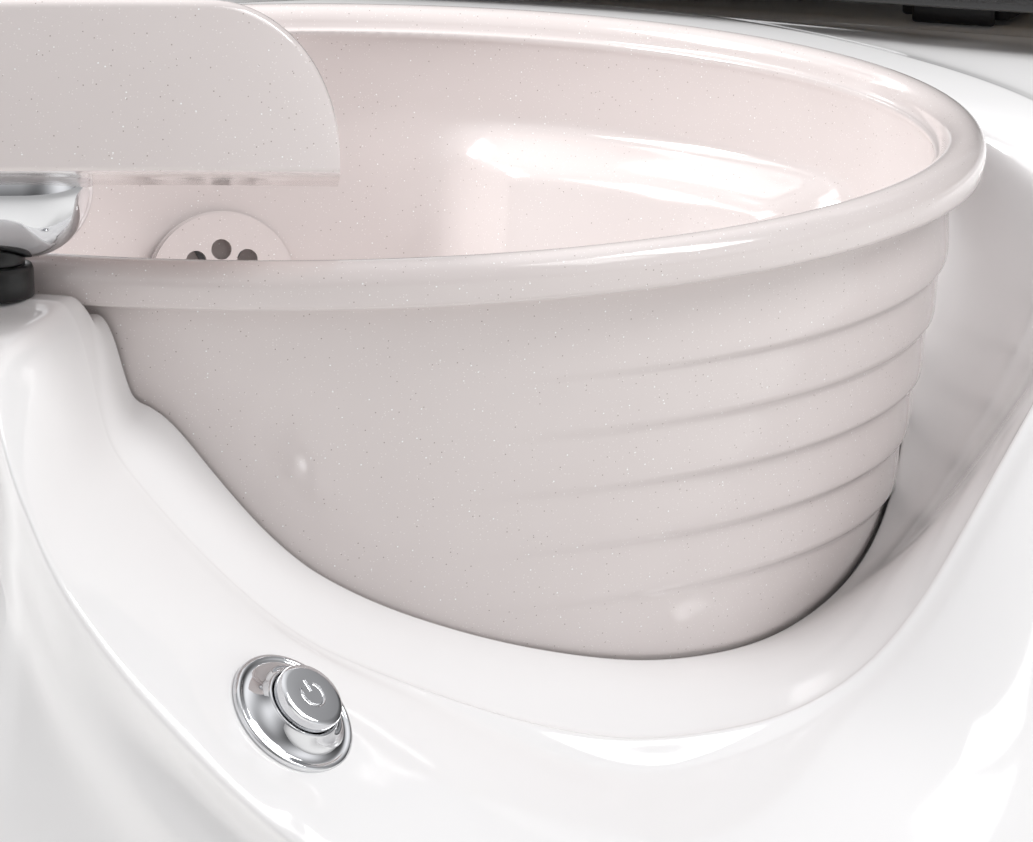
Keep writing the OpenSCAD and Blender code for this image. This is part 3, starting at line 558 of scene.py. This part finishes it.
def swept(name, path, radii, place, sides=24):
    """A round bar along a path in one plane, with closed ends."""
    points, faces = [], []
    path = [Vector(p) for p in path]
    for j, p in enumerate(path):
        ahead = (path[min(j + 1, len(path) - 1)] - path[max(j - 1, 0)]).normalized()
        across = Vector((0, 1, 0))
        up = ahead.cross(across).normalized()
        for i in range(sides):
            a = 2 * math.pi * i / sides
            points.append(place @ ((p + radii[j] * (math.cos(a) * across + math.sin(a) * up)) * millimetre))
    for j in range(len(path) - 1):
        for i in range(sides):
            l = (i + 1) % sides
            faces.append((j * sides + i, j * sides + l, (j + 1) * sides + l, (j + 1) * sides + i))
    faces += [tuple(range(sides)), tuple(range(len(points) - sides, len(points)))]
    return mesh_piece(name, points, faces)


def cut_out(piece, *cutters):
    """Cuts the cutters out of a piece, and shades it smooth except at its edges."""
    for cutter in cutters:
        hole = piece.modifiers.new("cut", "BOOLEAN")
        hole.operation = "DIFFERENCE"
        hole.solver = "EXACT"
        hole.object = cutter
    apply_modifiers(piece)
    for cutter in cutters:
        bpy.data.objects.remove(cutter)
    piece.data.set_sharp_from_angle(angle=math.radians(35))


switch_place = (Matrix.Translation(switch_seat)
                @ switch_normal.to_track_quat("Z", "Y").to_matrix().to_4x4())
plate_profile = [(8.2, 0.4), (25.0, 0.4), (25.4, 0.7), (25.6, 1.5), (25.4, 2.5), (24.7, 3.2), (23.8, 3.4),
                 (23.0, 3.1), (22.3, 2.8), (21.4, 2.9), (20.0, 3.5), (18.4, 4.6), (17.0, 6.0), (16.0, 7.4),
                 (15.2, 8.8), (14.9, 9.3), (14.4, 9.6),
                 (13.9, 9.5), (13.8, 9.2), (13.8, 3.0), (8.2, 3.0), (8.2, 0.4)]
plate = lathe("switch_plate", plate_profile, switch_place)
finish_piece(plate, "base", chrome, ["switch_escutcheon"])
knob_profile = [(0.001, -9), (8, -9), (8, 6.6), (13.3, 6.6), (13.4, 6.9), (13.4, 13.8), (13.1, 14.6),
                (12.4, 15.0), (11.0, 15.1), (6.0, 15.1), (0.001, 15.1)]
knob = lathe("switch_knob_chrome", knob_profile, switch_place)
mark_place = switch_place @ Matrix.Translation((0, 0, 0.01535)) @ Matrix.Rotation(math.radians(-90), 4, "X")
ring_path = [(4.9 * math.sin(a), 0, 4.9 * math.cos(a)) for a in np.radians(np.arange(38, 323, 9))]
broken_ring = swept("mark_ring", ring_path, [0.75] * len(ring_path), mark_place, 12)
bar = swept("mark_bar", [(0, 0, 1.4), (0, 0, 3.8), (0, 0, 6.4)], [0.75] * 3, mark_place, 12)
cut_out(knob, broken_ring, bar)
finish_piece(knob, "switch_knob", chrome, ["switch_knob"])

# ---- Pedestal ----------------------------------------------------------------------
# A second fibreglass moulding, a plain box with rounded corners that the seat rails are
# bolted on. It is cut out behind for the service door and the power inlet.


def rounded_block(name, half_x, half_y, corner, profile):
    """A block of stacked rounded rectangles; profile lists each one's inset and height, from
    the bottom up, in millimetres."""
    points, faces = [], []
    for inset, z in profile:
        r = max(corner - inset, 0.5)
        hx, hy = half_x - inset - r, half_y - inset - r
        for cx, cy, start in ((hx, -hy, -90), (hx, hy, 0), (-hx, hy, 90), (-hx, -hy, 180)):
            for a in np.radians(np.arange(start, start + 91, 10)):
                points.append(Vector((cx + r * math.cos(a), cy + r * math.sin(a), z)) * millimetre)
    count = len(points) // len(profile)
    for j in range(len(profile) - 1):
        for i in range(count):
            l = (i + 1) % count
            faces.append((j * count + i, j * count + l, (j + 1) * count + l, (j + 1) * count + i))
    faces += [tuple(range(count)), tuple(range(len(points) - count, len(points)))]
    return mesh_piece(name, points, faces)


def edge_profile(bottom, top, low_r, high_r):
    """A block's profile with its bottom and top edges rounded."""
    profile = [(low_r * (1 - math.sin(a)), bottom + low_r * (1 - math.cos(a)))
               for a in np.radians(np.arange(0, 91, 15))]
    return profile + [(high_r * (1 - math.cos(a)), top - high_r * (1 - math.sin(a)))
                      for a in np.radians(np.arange(0, 91, 15))]


def put(piece, place):
    """Moves a piece to its place, in its mesh."""
    piece.data.transform(place)
    return piece


def eased_copy(node, width, turn=40):
    """A CAD node's shape with its sharp edges eased, as a moulder or a welder leaves them."""
    piece = bpy.data.objects.new(node + "_eased", nodes[node].data.copy())
    bpy.context.scene.collection.objects.link(piece)
    work = bmesh.new()
    work.from_mesh(piece.data)
    bmesh.ops.remove_doubles(work, verts=work.verts, dist=1e-5)
    bmesh.ops.dissolve_limit(work, angle_limit=math.radians(1), verts=work.verts, edges=work.edges)
    work.to_mesh(piece.data)
    work.free()
    eased = piece.modifiers.new("eased", "BEVEL")
    eased.width = width * millimetre
    eased.segments = 2
    eased.limit_method = "ANGLE"
    eased.angle_limit = math.radians(turn)
    eased.harden_normals = False
    apply_modifiers(piece)
    for polygon in piece.data.polygons:
        polygon.use_smooth = True
    piece.data.set_sharp_from_angle(angle=math.radians(32))
    return piece


def block_at(name, low, high, corner=2.0):
    """A plain cutter between two corners, in millimetres from the bowl's centre."""
    size = [(b - a) / 2 for a, b in zip(low, high)]
    middle = [(a + b) / 2 for a, b in zip(low, high)]
    cutter = rounded_block(name, size[0], size[1], corner, [(0, -size[2]), (0, size[2])])
    return put(cutter, Matrix.Translation(from_floor(*middle)))


def from_floor(x, y, z):
    """A point in millimetres from the floor under the bowl's centre."""
    return Vector((rim_centre.x + x * millimetre, rim_centre.y + y * millimetre, z * millimetre))


pedestal_low, pedestal_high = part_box("pedestal_shell")
pedestal_half = (pedestal_high - pedestal_low) / 2 / millimetre
pedestal_middle = (pedestal_low + pedestal_high) / 2
pedestal_middle.z = 0
pedestal = rounded_block("pedestal_moulding", pedestal_half.x, pedestal_half.y, 30,
                         edge_profile(12, 395, 3, 14))
hollow = rounded_block("pedestal_hollow", pedestal_half.x - 7, pedestal_half.y - 7, 23,
                       edge_profile(-5, 388, 1, 8))
put(pedestal, Matrix.Translation(pedestal_middle))
put(hollow, Matrix.Translation(pedestal_middle))
door_hole = block_at("door_hole", (-150, 820, 80), (150, 870, 310), 3)
inlet_hole = lathe("inlet_hole", [(0.001, -20), (14, -20), (14, 20), (0.001, 20)],
                   Matrix.Translation(from_floor(250, 850, 60)) @ Matrix.Rotation(math.pi / 2, 4, "X"), 48)
passage = block_at("seam_passage", (-130, 330, -10), (130, 370, 76), 3)
cut_out(pedestal, hollow, door_hole, inlet_hole, passage)
finish_piece(pedestal, "base", white_gelcoat, ["pedestal_shell"])

# The door is a flat moulded panel on two pins, held by a quarter-turn latch
door = eased_copy("service_door", 1.2)
finish_piece(door, "service_door", white_gelcoat, ["service_door"])
latch = eased_copy("door_latch", 0.8)
finish_piece(latch, "door_latch", chrome, ["door_latch"])

# ---- Faucet ------------------------------------------------------------------------
# A chromed brass mixer on the left shoulder: a turned body, a swept spout that reaches
# over the rim, and a lever with a rounded handle on top.

faucet_place = Matrix.Translation(from_bowl(0, 0, 0) + Vector((-306, 204, -16)) * millimetre)
faucet = lathe("faucet_column", [(0.001, -34), (13, -34), (13, 0.3), (26, 0.3), (26, 3), (25, 5), (22.5, 6.4),
                                 (20.6, 8), (20, 11), (19.2, 30), (19.2, 76), (20, 82), (20, 84.4),
                                 (19.2, 85.8), (17, 86.1), (0.001, 86.1)], faucet_place)
finish_piece(faucet, "base", chrome, ["faucet_body"])
spout_turn = Matrix.Rotation(math.atan2(-204, 306), 4, "Z")
bend = [(128 + 20 * math.sin(a), 0, 58 - 20 + 20 * math.cos(a)) for a in np.radians(np.arange(0, 91, 10))]
spout_path = [(14, 0, 56), (30, 0, 57), (60, 0, 58), (100, 0, 58.5)] + bend + [(148, 0, 37), (148, 0, 36)]
spout_radii = [10.5, 10, 9.2, 8.8] + [8.8] * 8 + [9.4, 10.2, 10.2, 9.6]
spout = swept("faucet_spout_swept", spout_path, spout_radii, faucet_place @ spout_turn)
finish_piece(spout, "base", chrome, ["faucet_spout"])
lever_cap = lathe("faucet_lever_cap", [(0.001, 74.6), (7.8, 74.6), (7.8, 86.5), (19.3, 86.5), (19.6, 88),
                                       (19.6, 95), (18.8, 98.6), (16.5, 101), (11, 102.6), (0.001, 103)],
                  faucet_place)
handle_path = [(8, 0, 94), (20, 0, 95.6), (34, 0, 97), (50, 0, 98), (64, 0, 98), (70, 0, 97.6), (72, 0, 97.4)]
handle = swept("faucet_lever_handle", handle_path, [5, 4.6, 4.4, 5, 5.4, 4.6, 2.4], faucet_place)
finish_piece(lever_cap, "faucet_lever", chrome, ["faucet_lever"])
finish_piece(handle, "faucet_lever", chrome)

# ---- Rails, carriage and side plates -----------------------------------------------
# Welded steel under a satin black powder coat. The rails are bolted to the pedestal, and
# the carriage slides on them with the seat's two side plates.

# Powder coat is sprayed and baked, which leaves a fine pebble of about 1 mm
powder_coat, tree, shader = principled("satin_black_powder_coat", "#1D1E20", Roughness=0.42, IOR=1.5)
place = add(tree, "ShaderNodeTexCoord").outputs["Object"]
pebble = add(tree, "ShaderNodeTexNoise", Vector=place, Scale=700.0, Detail=2.0)
pebble_bump = add(tree, "ShaderNodeBump", Height=pebble.outputs["Fac"], Strength=0.25, Distance=0.0004)
tree.links.new(pebble_bump.outputs["Normal"], shader.inputs["Normal"])
for node, body, width in (("seat_rails", "base", 1.5), ("seat_carriage", "seat", 1.5),
                          ("side_plates", "seat", 1.2), ("arm_left", "arm_left", 4.0),
                          ("arm_right", "arm_right", 4.0),
                          ("backrest_frame", "backrest", 2.5), ("base_frame", "base", 2.5)):
    finish_piece(eased_copy(node, width), body, powder_coat, [node])

# ---- Seat cushion ------------------------------------------------------------------
# Foam in a boxed cover of glossy black leather, crowned on top, with a piped seam round
# it and two sewn channels. It sits on a plywood pan.

# Coated upholstery leather: embossed grain of about 1.5 mm under a glossy finish, which
# shows as a soft broken sparkle along its highlights
leather, tree, shader = principled("glossy_black_leather", "#0A0A0B", Roughness=0.2, IOR=1.5, Coat_Weight=0.3,
                                   Coat_Roughness=0.08)
place = add(tree, "ShaderNodeTexCoord").outputs["Object"]
grain_cells = add(tree, "ShaderNodeTexVoronoi", {"feature": "SMOOTH_F1"}, Vector=place, Scale=620.0)
creases = add(tree, "ShaderNodeTexNoise", Vector=place, Scale=45.0, Detail=4.0)
relief = add(tree, "ShaderNodeMath", {"operation": "MULTIPLY_ADD"}, i0=creases.outputs["Fac"], i1=1.5,
             i2=grain_cells.outputs["Distance"])
grain_bump = add(tree, "ShaderNodeBump", Height=relief.outputs[0], Strength=0.22, Distance=0.0006)
tree.links.new(grain_bump.outputs["Normal"], shader.inputs["Normal"])
sheen_patches = add(tree, "ShaderNodeMapRange", Value=creases.outputs["Fac"], To_Min=0.16, To_Max=0.3)
tree.links.new(sheen_patches.outputs["Result"], shader.inputs["Roughness"])
thread, tree, shader = principled("black_bonded_thread", "#17171A", Roughness=0.55)
place = add(tree, "ShaderNodeTexCoord").outputs["Object"]
twist = add(tree, "ShaderNodeTexNoise", Vector=place, Scale=1800.0, Detail=1.0)
twist_bump = add(tree, "ShaderNodeBump", Height=twist.outputs["Fac"], Strength=0.4, Distance=0.0002)
tree.links.new(twist_bump.outputs["Normal"], shader.inputs["Normal"])

# Piping is a cord in a strip of the cover, with a row of lock stitches beside it
piping = bpy.data.node_groups.new("piping_and_stitches", "GeometryNodeTree")
piping.interface.new_socket("Geometry", in_out="INPUT", socket_type="NodeSocketGeometry")
for label, value in (("Cord radius", 0.0028), ("Stitch pitch", 0.007), ("Stitch length", 0.0022)):
    socket = piping.interface.new_socket(label, in_out="INPUT", socket_type="NodeSocketFloat")
    socket.default_value = value
piping.interface.new_socket("Geometry", in_out="OUTPUT", socket_type="NodeSocketGeometry")
given = add(piping, "NodeGroupInput")
seam_curve = add(piping, "GeometryNodeMeshToCurve", Mesh=given.outputs["Geometry"])
cord_section = add(piping, "GeometryNodeCurvePrimitiveCircle", Resolution=10,
                   Radius=given.outputs["Cord radius"])
cord_mesh = add(piping, "GeometryNodeCurveToMesh", Curve=seam_curve.outputs["Curve"],
                Profile_Curve=cord_section.outputs["Curve"])
covered = add(piping, "GeometryNodeSetMaterial", Geometry=cord_mesh.outputs["Mesh"], Material=leather)
smooth_cord = add(piping, "GeometryNodeSetShadeSmooth", Geometry=covered.outputs["Geometry"])
stitch_places = add(piping, "GeometryNodeCurveToPoints", {"mode": "LENGTH"}, Curve=seam_curve.outputs["Curve"],
                    Length=given.outputs["Stitch pitch"])
stitch = add(piping, "GeometryNodeMeshUVSphere", Segments=6, Rings=4, Radius=given.outputs["Stitch length"])
thin = add(piping, "GeometryNodeTransform", Geometry=stitch.outputs["Mesh"], Scale=(0.3, 0.3, 1.0))
row = add(piping, "GeometryNodeInstanceOnPoints", Points=stitch_places.outputs["Points"],
          Instance=thin.outputs["Geometry"], Rotation=stitch_places.outputs["Rotation"])
threaded = add(piping, "GeometryNodeSetMaterial", Geometry=row.outputs["Instances"], Material=thread)
both = add(piping, "GeometryNodeJoinGeometry")
piping.links.new(smooth_cord.outputs["Geometry"], both.inputs["Geometry"])
piping.links.new(threaded.outputs["Geometry"], both.inputs["Geometry"])
plain = add(piping, "GeometryNodeRealizeInstances", Geometry=both.outputs["Geometry"])
add(piping, "NodeGroupOutput", Geometry=plain.outputs["Geometry"])


def piped_seam(name, loop, body, cord_radius=0.0028):
    """Piping along a closed line of points."""
    mesh = bpy.data.meshes.new(name)
    mesh.from_pydata(loop, [(i, (i + 1) % len(loop)) for i in range(len(loop))], [])
    seam = bpy.data.objects.new(name, mesh)
    bpy.context.scene.collection.objects.link(seam)
    sewn = seam.modifiers.new("piping", "NODES")
    sewn.node_group = piping
    for item in piping.interface.items_tree:
        if item.in_out == "INPUT" and item.name == "Cord radius":
            sewn[item.identifier] = cord_radius
    apply_modifiers(seam)
    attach(seam, body)
    return seam


def fill_cover(pad, voxel, reach):
    """Fills a pad's cover with foam: even mesh, base held, blown up, and capped."""
    even = pad.modifiers.new("even", "REMESH")
    even.mode = "VOXEL"
    even.voxel_size = voxel * millimetre
    apply_modifiers(pad)
    start = np.empty(len(pad.data.vertices) * 3)
    pad.data.vertices.foreach_get("co", start)
    start = start.reshape(-1, 3)
    held = pad.vertex_groups.new(name="held")
    held.add([int(i) for i in np.nonzero(start[:, 2] < 4 * millimetre)[0]], 1.0, "REPLACE")
    cloth = pad.modifiers.new("cover", "CLOTH")
    cloth.settings.use_pressure = True
    cloth.settings.uniform_pressure_force = 4.0
    cloth.settings.effector_weights.gravity = 0.0
    cloth.settings.vertex_group_mass = "held"
    cloth.point_cache.frame_end = 20
    for frame_number in range(1, 21):
        bpy.context.scene.frame_set(frame_number)
    graph = bpy.context.evaluated_depsgraph_get()
    blown = pad.evaluated_get(graph).to_mesh()
    end = np.empty(len(blown.vertices) * 3)
    blown.vertices.foreach_get("co", end)
    pad.evaluated_get(graph).to_mesh_clear()
    pad.modifiers.clear()
    pad.vertex_groups.clear()
    move = end.reshape(-1, 3) - start
    size = np.linalg.norm(move, axis=1, keepdims=True)
    capped = start + move * np.minimum(1.0, reach * millimetre / np.maximum(size, 1e-9))
    pad.data.vertices.foreach_set("co", capped.ravel())
    bpy.context.scene.frame_set(1)
    subdivide(pad, 1)
    for polygon in pad.data.polygons:
        polygon.use_smooth = True


def sew(pad, lines, depth, half_width):
    """Pulls the top of a pad down along sewn lines; each is an axis and a place in millimetres."""
    points = np.empty(len(pad.data.vertices) * 3)
    normals = np.empty(len(pad.data.vertices) * 3)
    pad.data.vertices.foreach_get("co", points)
    pad.data.vertices.foreach_get("normal", normals)
    points, normals = points.reshape(-1, 3), normals.reshape(-1, 3)
    drop = np.zeros(len(points))
    for axis, at in lines:
        away = np.abs(points[:, axis] / millimetre - at) / half_width
        drop = np.maximum(drop, depth * np.exp(-1.8 * away))
    facing = np.clip((normals[:, 2] - 0.25) / 0.5, 0, 1)
    points[:, 2] -= drop * millimetre * facing * facing * (3 - 2 * facing)
    pad.data.vertices.foreach_set("co", points.ravel())


def seam_round(pad, half_x, half_y, corner, height):
    """A closed line round a pad's side at a height, laid on its surface."""
    tree_of_pad = BVHTree.FromPolygons([v.co for v in pad.data.vertices],
                                       [p.vertices for p in pad.data.polygons])
    loop = []
    hx, hy = half_x - corner, half_y - corner
    outline = []
    for cx, cy, start in ((hx, -hy, -90), (hx, hy, 0), (-hx, hy, 90), (-hx, -hy, 180)):
        outline += [(cx, cy, math.radians(a)) for a in np.arange(start, start + 90, 7.5)]
    dense = []
    for (x0, y0, a0), (x1, y1, a1) in zip(outline, outline[1:] + outline[:1]):
        p0 = Vector((x0 + corner * math.cos(a0), y0 + corner * math.sin(a0), 0))
        p1 = Vector((x1 + corner * math.cos(a1), y1 + corner * math.sin(a1), 0))
        steps = max(1, int((p1 - p0).length / 9))
        dense += [p0.lerp(p1, k / steps) for k in range(steps)]
    for p in dense:
        inward = Vector((min(max(p.x, -hx), hx), min(max(p.y, -hy), hy), 0)) - p
        inward = inward.normalized() if inward.length > 1e-6 else -p.normalized()
        source = (p - inward * 60) * millimetre
        source.z = height * millimetre
        hit, normal, _, _ = tree_of_pad.ray_cast(source, inward)
        if hit is not None:
            loop.append(hit + normal * 0.0006)
    return loop


def cushion(name, body, width, length, thickness, corner, place, node, lines=(), reach=24, voxel=6):
    """A boxed cushion on z = 0, crowned, sewn and piped, then put in its place."""
    shrink = 9
    blank = rounded_block(name, width / 2 - shrink, length / 2 - shrink, corner,
                          edge_profile(0, thickness - 13, 10, 22))
    fill_cover(blank, voxel, reach)
    sew(blank, lines, 11, 9)
    seams = [seam_round(blank, width / 2 - shrink, length / 2 - shrink, corner, h)
             for h in (14, thickness - 36)]
    put(blank, place)
    finish_piece(blank, body, leather, [node])
    for label, loop in zip(("low", "high"), seams):
        piped_seam(f"{name}_piping_{label}", [place @ p for p in loop], body)
    return blank


seat_low, seat_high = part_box("seat_cushion")
seat_middle = (seat_low + seat_high) / 2
seat_middle.z = seat_low.z
cushion("seat_cushion_sewn", "seat", 516, 507, 134, 34, Matrix.Translation(seat_middle), "seat_cushion",
        [(0, -88), (0, 88)])

# The panel under the cushion is board wrapped in the same leather
valance_low, valance_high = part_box("seat_valance")
valance_half = (valance_high.x - valance_low.x) / 2 / millimetre
valance_front = (valance_low.y - rim_centre.y) / millimetre
valance_z = [valance_low.z / millimetre, valance_high.z / millimetre]
turn_r, board = 16.0, 12.5
front_line = []
for a in np.radians(np.arange(180, 271, 10)):
    front_line.append((-valance_half + turn_r + turn_r * math.cos(a),
                       valance_front + turn_r + turn_r * math.sin(a)))
outer_line = [(-valance_half, 680)] + front_line
outer_line += [(-x, y) for x, y in reversed(outer_line)]
valance_section = []
for cx, cz, start in ((board - 4, valance_z[1] - 4, 0), (4, valance_z[1] - 4, 90), (4, valance_z[0] + 4, 180),
                      (board - 4, valance_z[0] + 4, 270)):
    valance_section += [(cx + 4 * math.cos(a), cz + 4 * math.sin(a))
                        for a in np.radians(np.arange(start, start + 91, 18))]
points, faces = [], []
for j, (x, y) in enumerate(outer_line):
    before, after = outer_line[max(j - 1, 0)], outer_line[min(j + 1, len(outer_line) - 1)]
    ahead = Vector((after[0] - before[0], after[1] - before[1], 0)).normalized()
    inward = Vector((-ahead.y, ahead.x, 0))
    for depth, z in valance_section:
        points.append(from_floor(x + inward.x * depth, y + inward.y * depth, z))
count = len(valance_section)
for j in range(len(outer_line) - 1):
    for i in range(count):
        l = (i + 1) % count
        faces.append((j * count + i, j * count + l, (j + 1) * count + l, (j + 1) * count + i))
faces += [tuple(range(count)), tuple(range(len(points) - count, len(points)))]
valance = mesh_piece("seat_valance_board", points, faces)
valance.data.set_sharp_from_angle(angle=math.radians(60))
finish_piece(valance, "seat", leather, ["seat_valance"])

# ---- Backrest and headrest ---------------------------------------------------------
# The backrest is foam on an upholstered board, sewn across into flutes. The headrest is a
# smaller pad on two chromed posts.

hinge = from_floor(0, 845, 500)
lean = Matrix.Translation(hinge) @ Matrix.Rotation(math.radians(-12), 4, "X")
facing_front = Matrix.Rotation(math.pi / 2, 4, "X")
back_place = lean @ Matrix.Translation(Vector((0, -0.0156, 0.390))) @ facing_front
cushion("backrest_cushion_sewn", "backrest", 510, 610, 95, 44, back_place, "backrest_cushion",
        [(1, y) for y in (-183, -61, 61, 183)], reach=24)
board_place = lean @ Matrix.Translation(Vector((0, 0.040, 0.368))) @ facing_front
back_board = rounded_block("backrest_board", 250, 322, 30, edge_profile(0, 24.4, 8, 3))
put(back_board, board_place)
finish_piece(back_board, "backrest", leather, ["backrest_panel"])
board_seam = []
for cx, cy, start in ((205, -277, -90), (205, 277, 0), (-205, 277, 90), (-205, -277, 180)):
    board_seam += [board_place @ (Vector((cx + 22 * math.cos(a), cy + 22 * math.sin(a), -0.4)) * millimetre)
                   for a in np.radians(np.arange(start, start + 91, 10))]
piped_seam("backrest_board_piping", board_seam, "backrest", 0.0022)
head_place = lean @ Matrix.Translation(Vector((0, -0.0225, 0.7655))) @ facing_front
cushion("headrest_cushion_sewn", "headrest", 330, 130, 79, 40, head_place, "headrest_cushion", [], reach=14,
        voxel=5)

# ---- Arms and trays ----------------------------------------------------------------
# Each arm is a welded bar with a padded leather top, and a moulded tray swings on a chrome
# bracket at its front end.

for side, name in ((-1, "left"), (1, "right")):
    pad_low, pad_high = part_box(f"arm_pad_{name}")
    middle = (pad_low + pad_high) / 2
    middle.z = pad_low.z + 0.0002
    cushion(f"arm_pad_{name}_sewn", f"arm_{name}", 80, 330, 47, 24, Matrix.Translation(middle),
            f"arm_pad_{name}", [], reach=9, voxel=4)
    finish_piece(eased_copy(f"tray_{name}", 2.0), f"tray_{name}", white_gelcoat,
                 [f"tray_{name}"])
    finish_piece(eased_copy(f"tray_bracket_{name}", 1.2), f"tray_{name}", chrome,
                 [f"tray_bracket_{name}"])

# ---- Recline lever -----------------------------------------------------------------
# A moulded black handle on the right side plate.

recline = eased_copy("recline_lever", 3.0)
finish_piece(recline, "recline_lever", black_plastic, ["recline_lever"])

# ---- CAD pieces that show as they are ----------------------------------------------
# Fittings whose CAD shape is right, each in its own finish.

grey_plastic, tree, shader = principled("moulded_grey_plastic", "#7E8083", Roughness=0.4)
place = add(tree, "ShaderNodeTexCoord").outputs["Object"]
mottle = add(tree, "ShaderNodeTexNoise", Vector=place, Scale=400.0, Detail=2.0)
mottle_bump = add(tree, "ShaderNodeBump", Height=mottle.outputs["Fac"], Strength=0.1, Distance=0.0003)
tree.links.new(mottle_bump.outputs["Normal"], shader.inputs["Normal"])
seal_rubber, tree, shader = principled("seal_rubber", "#5A5A5C", Roughness=0.6)
place = add(tree, "ShaderNodeTexCoord").outputs["Object"]
bloom = add(tree, "ShaderNodeTexNoise", Vector=place, Scale=120.0, Detail=3.0)
dusty = add(tree, "ShaderNodeMapRange", Value=bloom.outputs["Fac"], To_Min=0.5, To_Max=0.75)
tree.links.new(dusty.outputs["Result"], shader.inputs["Roughness"])
# Birch plywood: pale veneer on its faces, with glue lines every 1.5 mm along its edges
plywood, tree, shader = principled("birch_plywood", Roughness=0.55)
place = add(tree, "ShaderNodeTexCoord").outputs["Object"]
height_of = add(tree, "ShaderNodeSeparateXYZ", i0=place)
plies = add(tree, "ShaderNodeMath", {"operation": "MODULO"}, i0=height_of.outputs["Z"], i1=0.003)
dark_ply = add(tree, "ShaderNodeMath", {"operation": "GREATER_THAN"}, i0=plies.outputs[0], i1=0.0015)
veneer = add(tree, "ShaderNodeMix", {"data_type": "RGBA"}, Factor=dark_ply.outputs[0])
veneer.inputs["A"].default_value = linear("#C9A877")
veneer.inputs["B"].default_value = linear("#A98450")
tree.links.new(veneer.outputs["Result"], shader.inputs["Base Color"])
finish_of_slot = {"white_gelcoat": white_gelcoat, "sparkle_gelcoat": glitter_gelcoat, "chrome": chrome,
                  "steel": powder_coat, "leather": leather, "black_plastic": black_plastic,
                  "grey_plastic": grey_plastic, "rubber": seal_rubber, "plywood": plywood,
                  "frame_tube": powder_coat}
for node, slot in slot_of.items():
    nodes[node].data.materials.clear()
    nodes[node].data.materials.append(finish_of_slot[slot])

bpy.context.scene.view_settings.view_transform = "Standard"
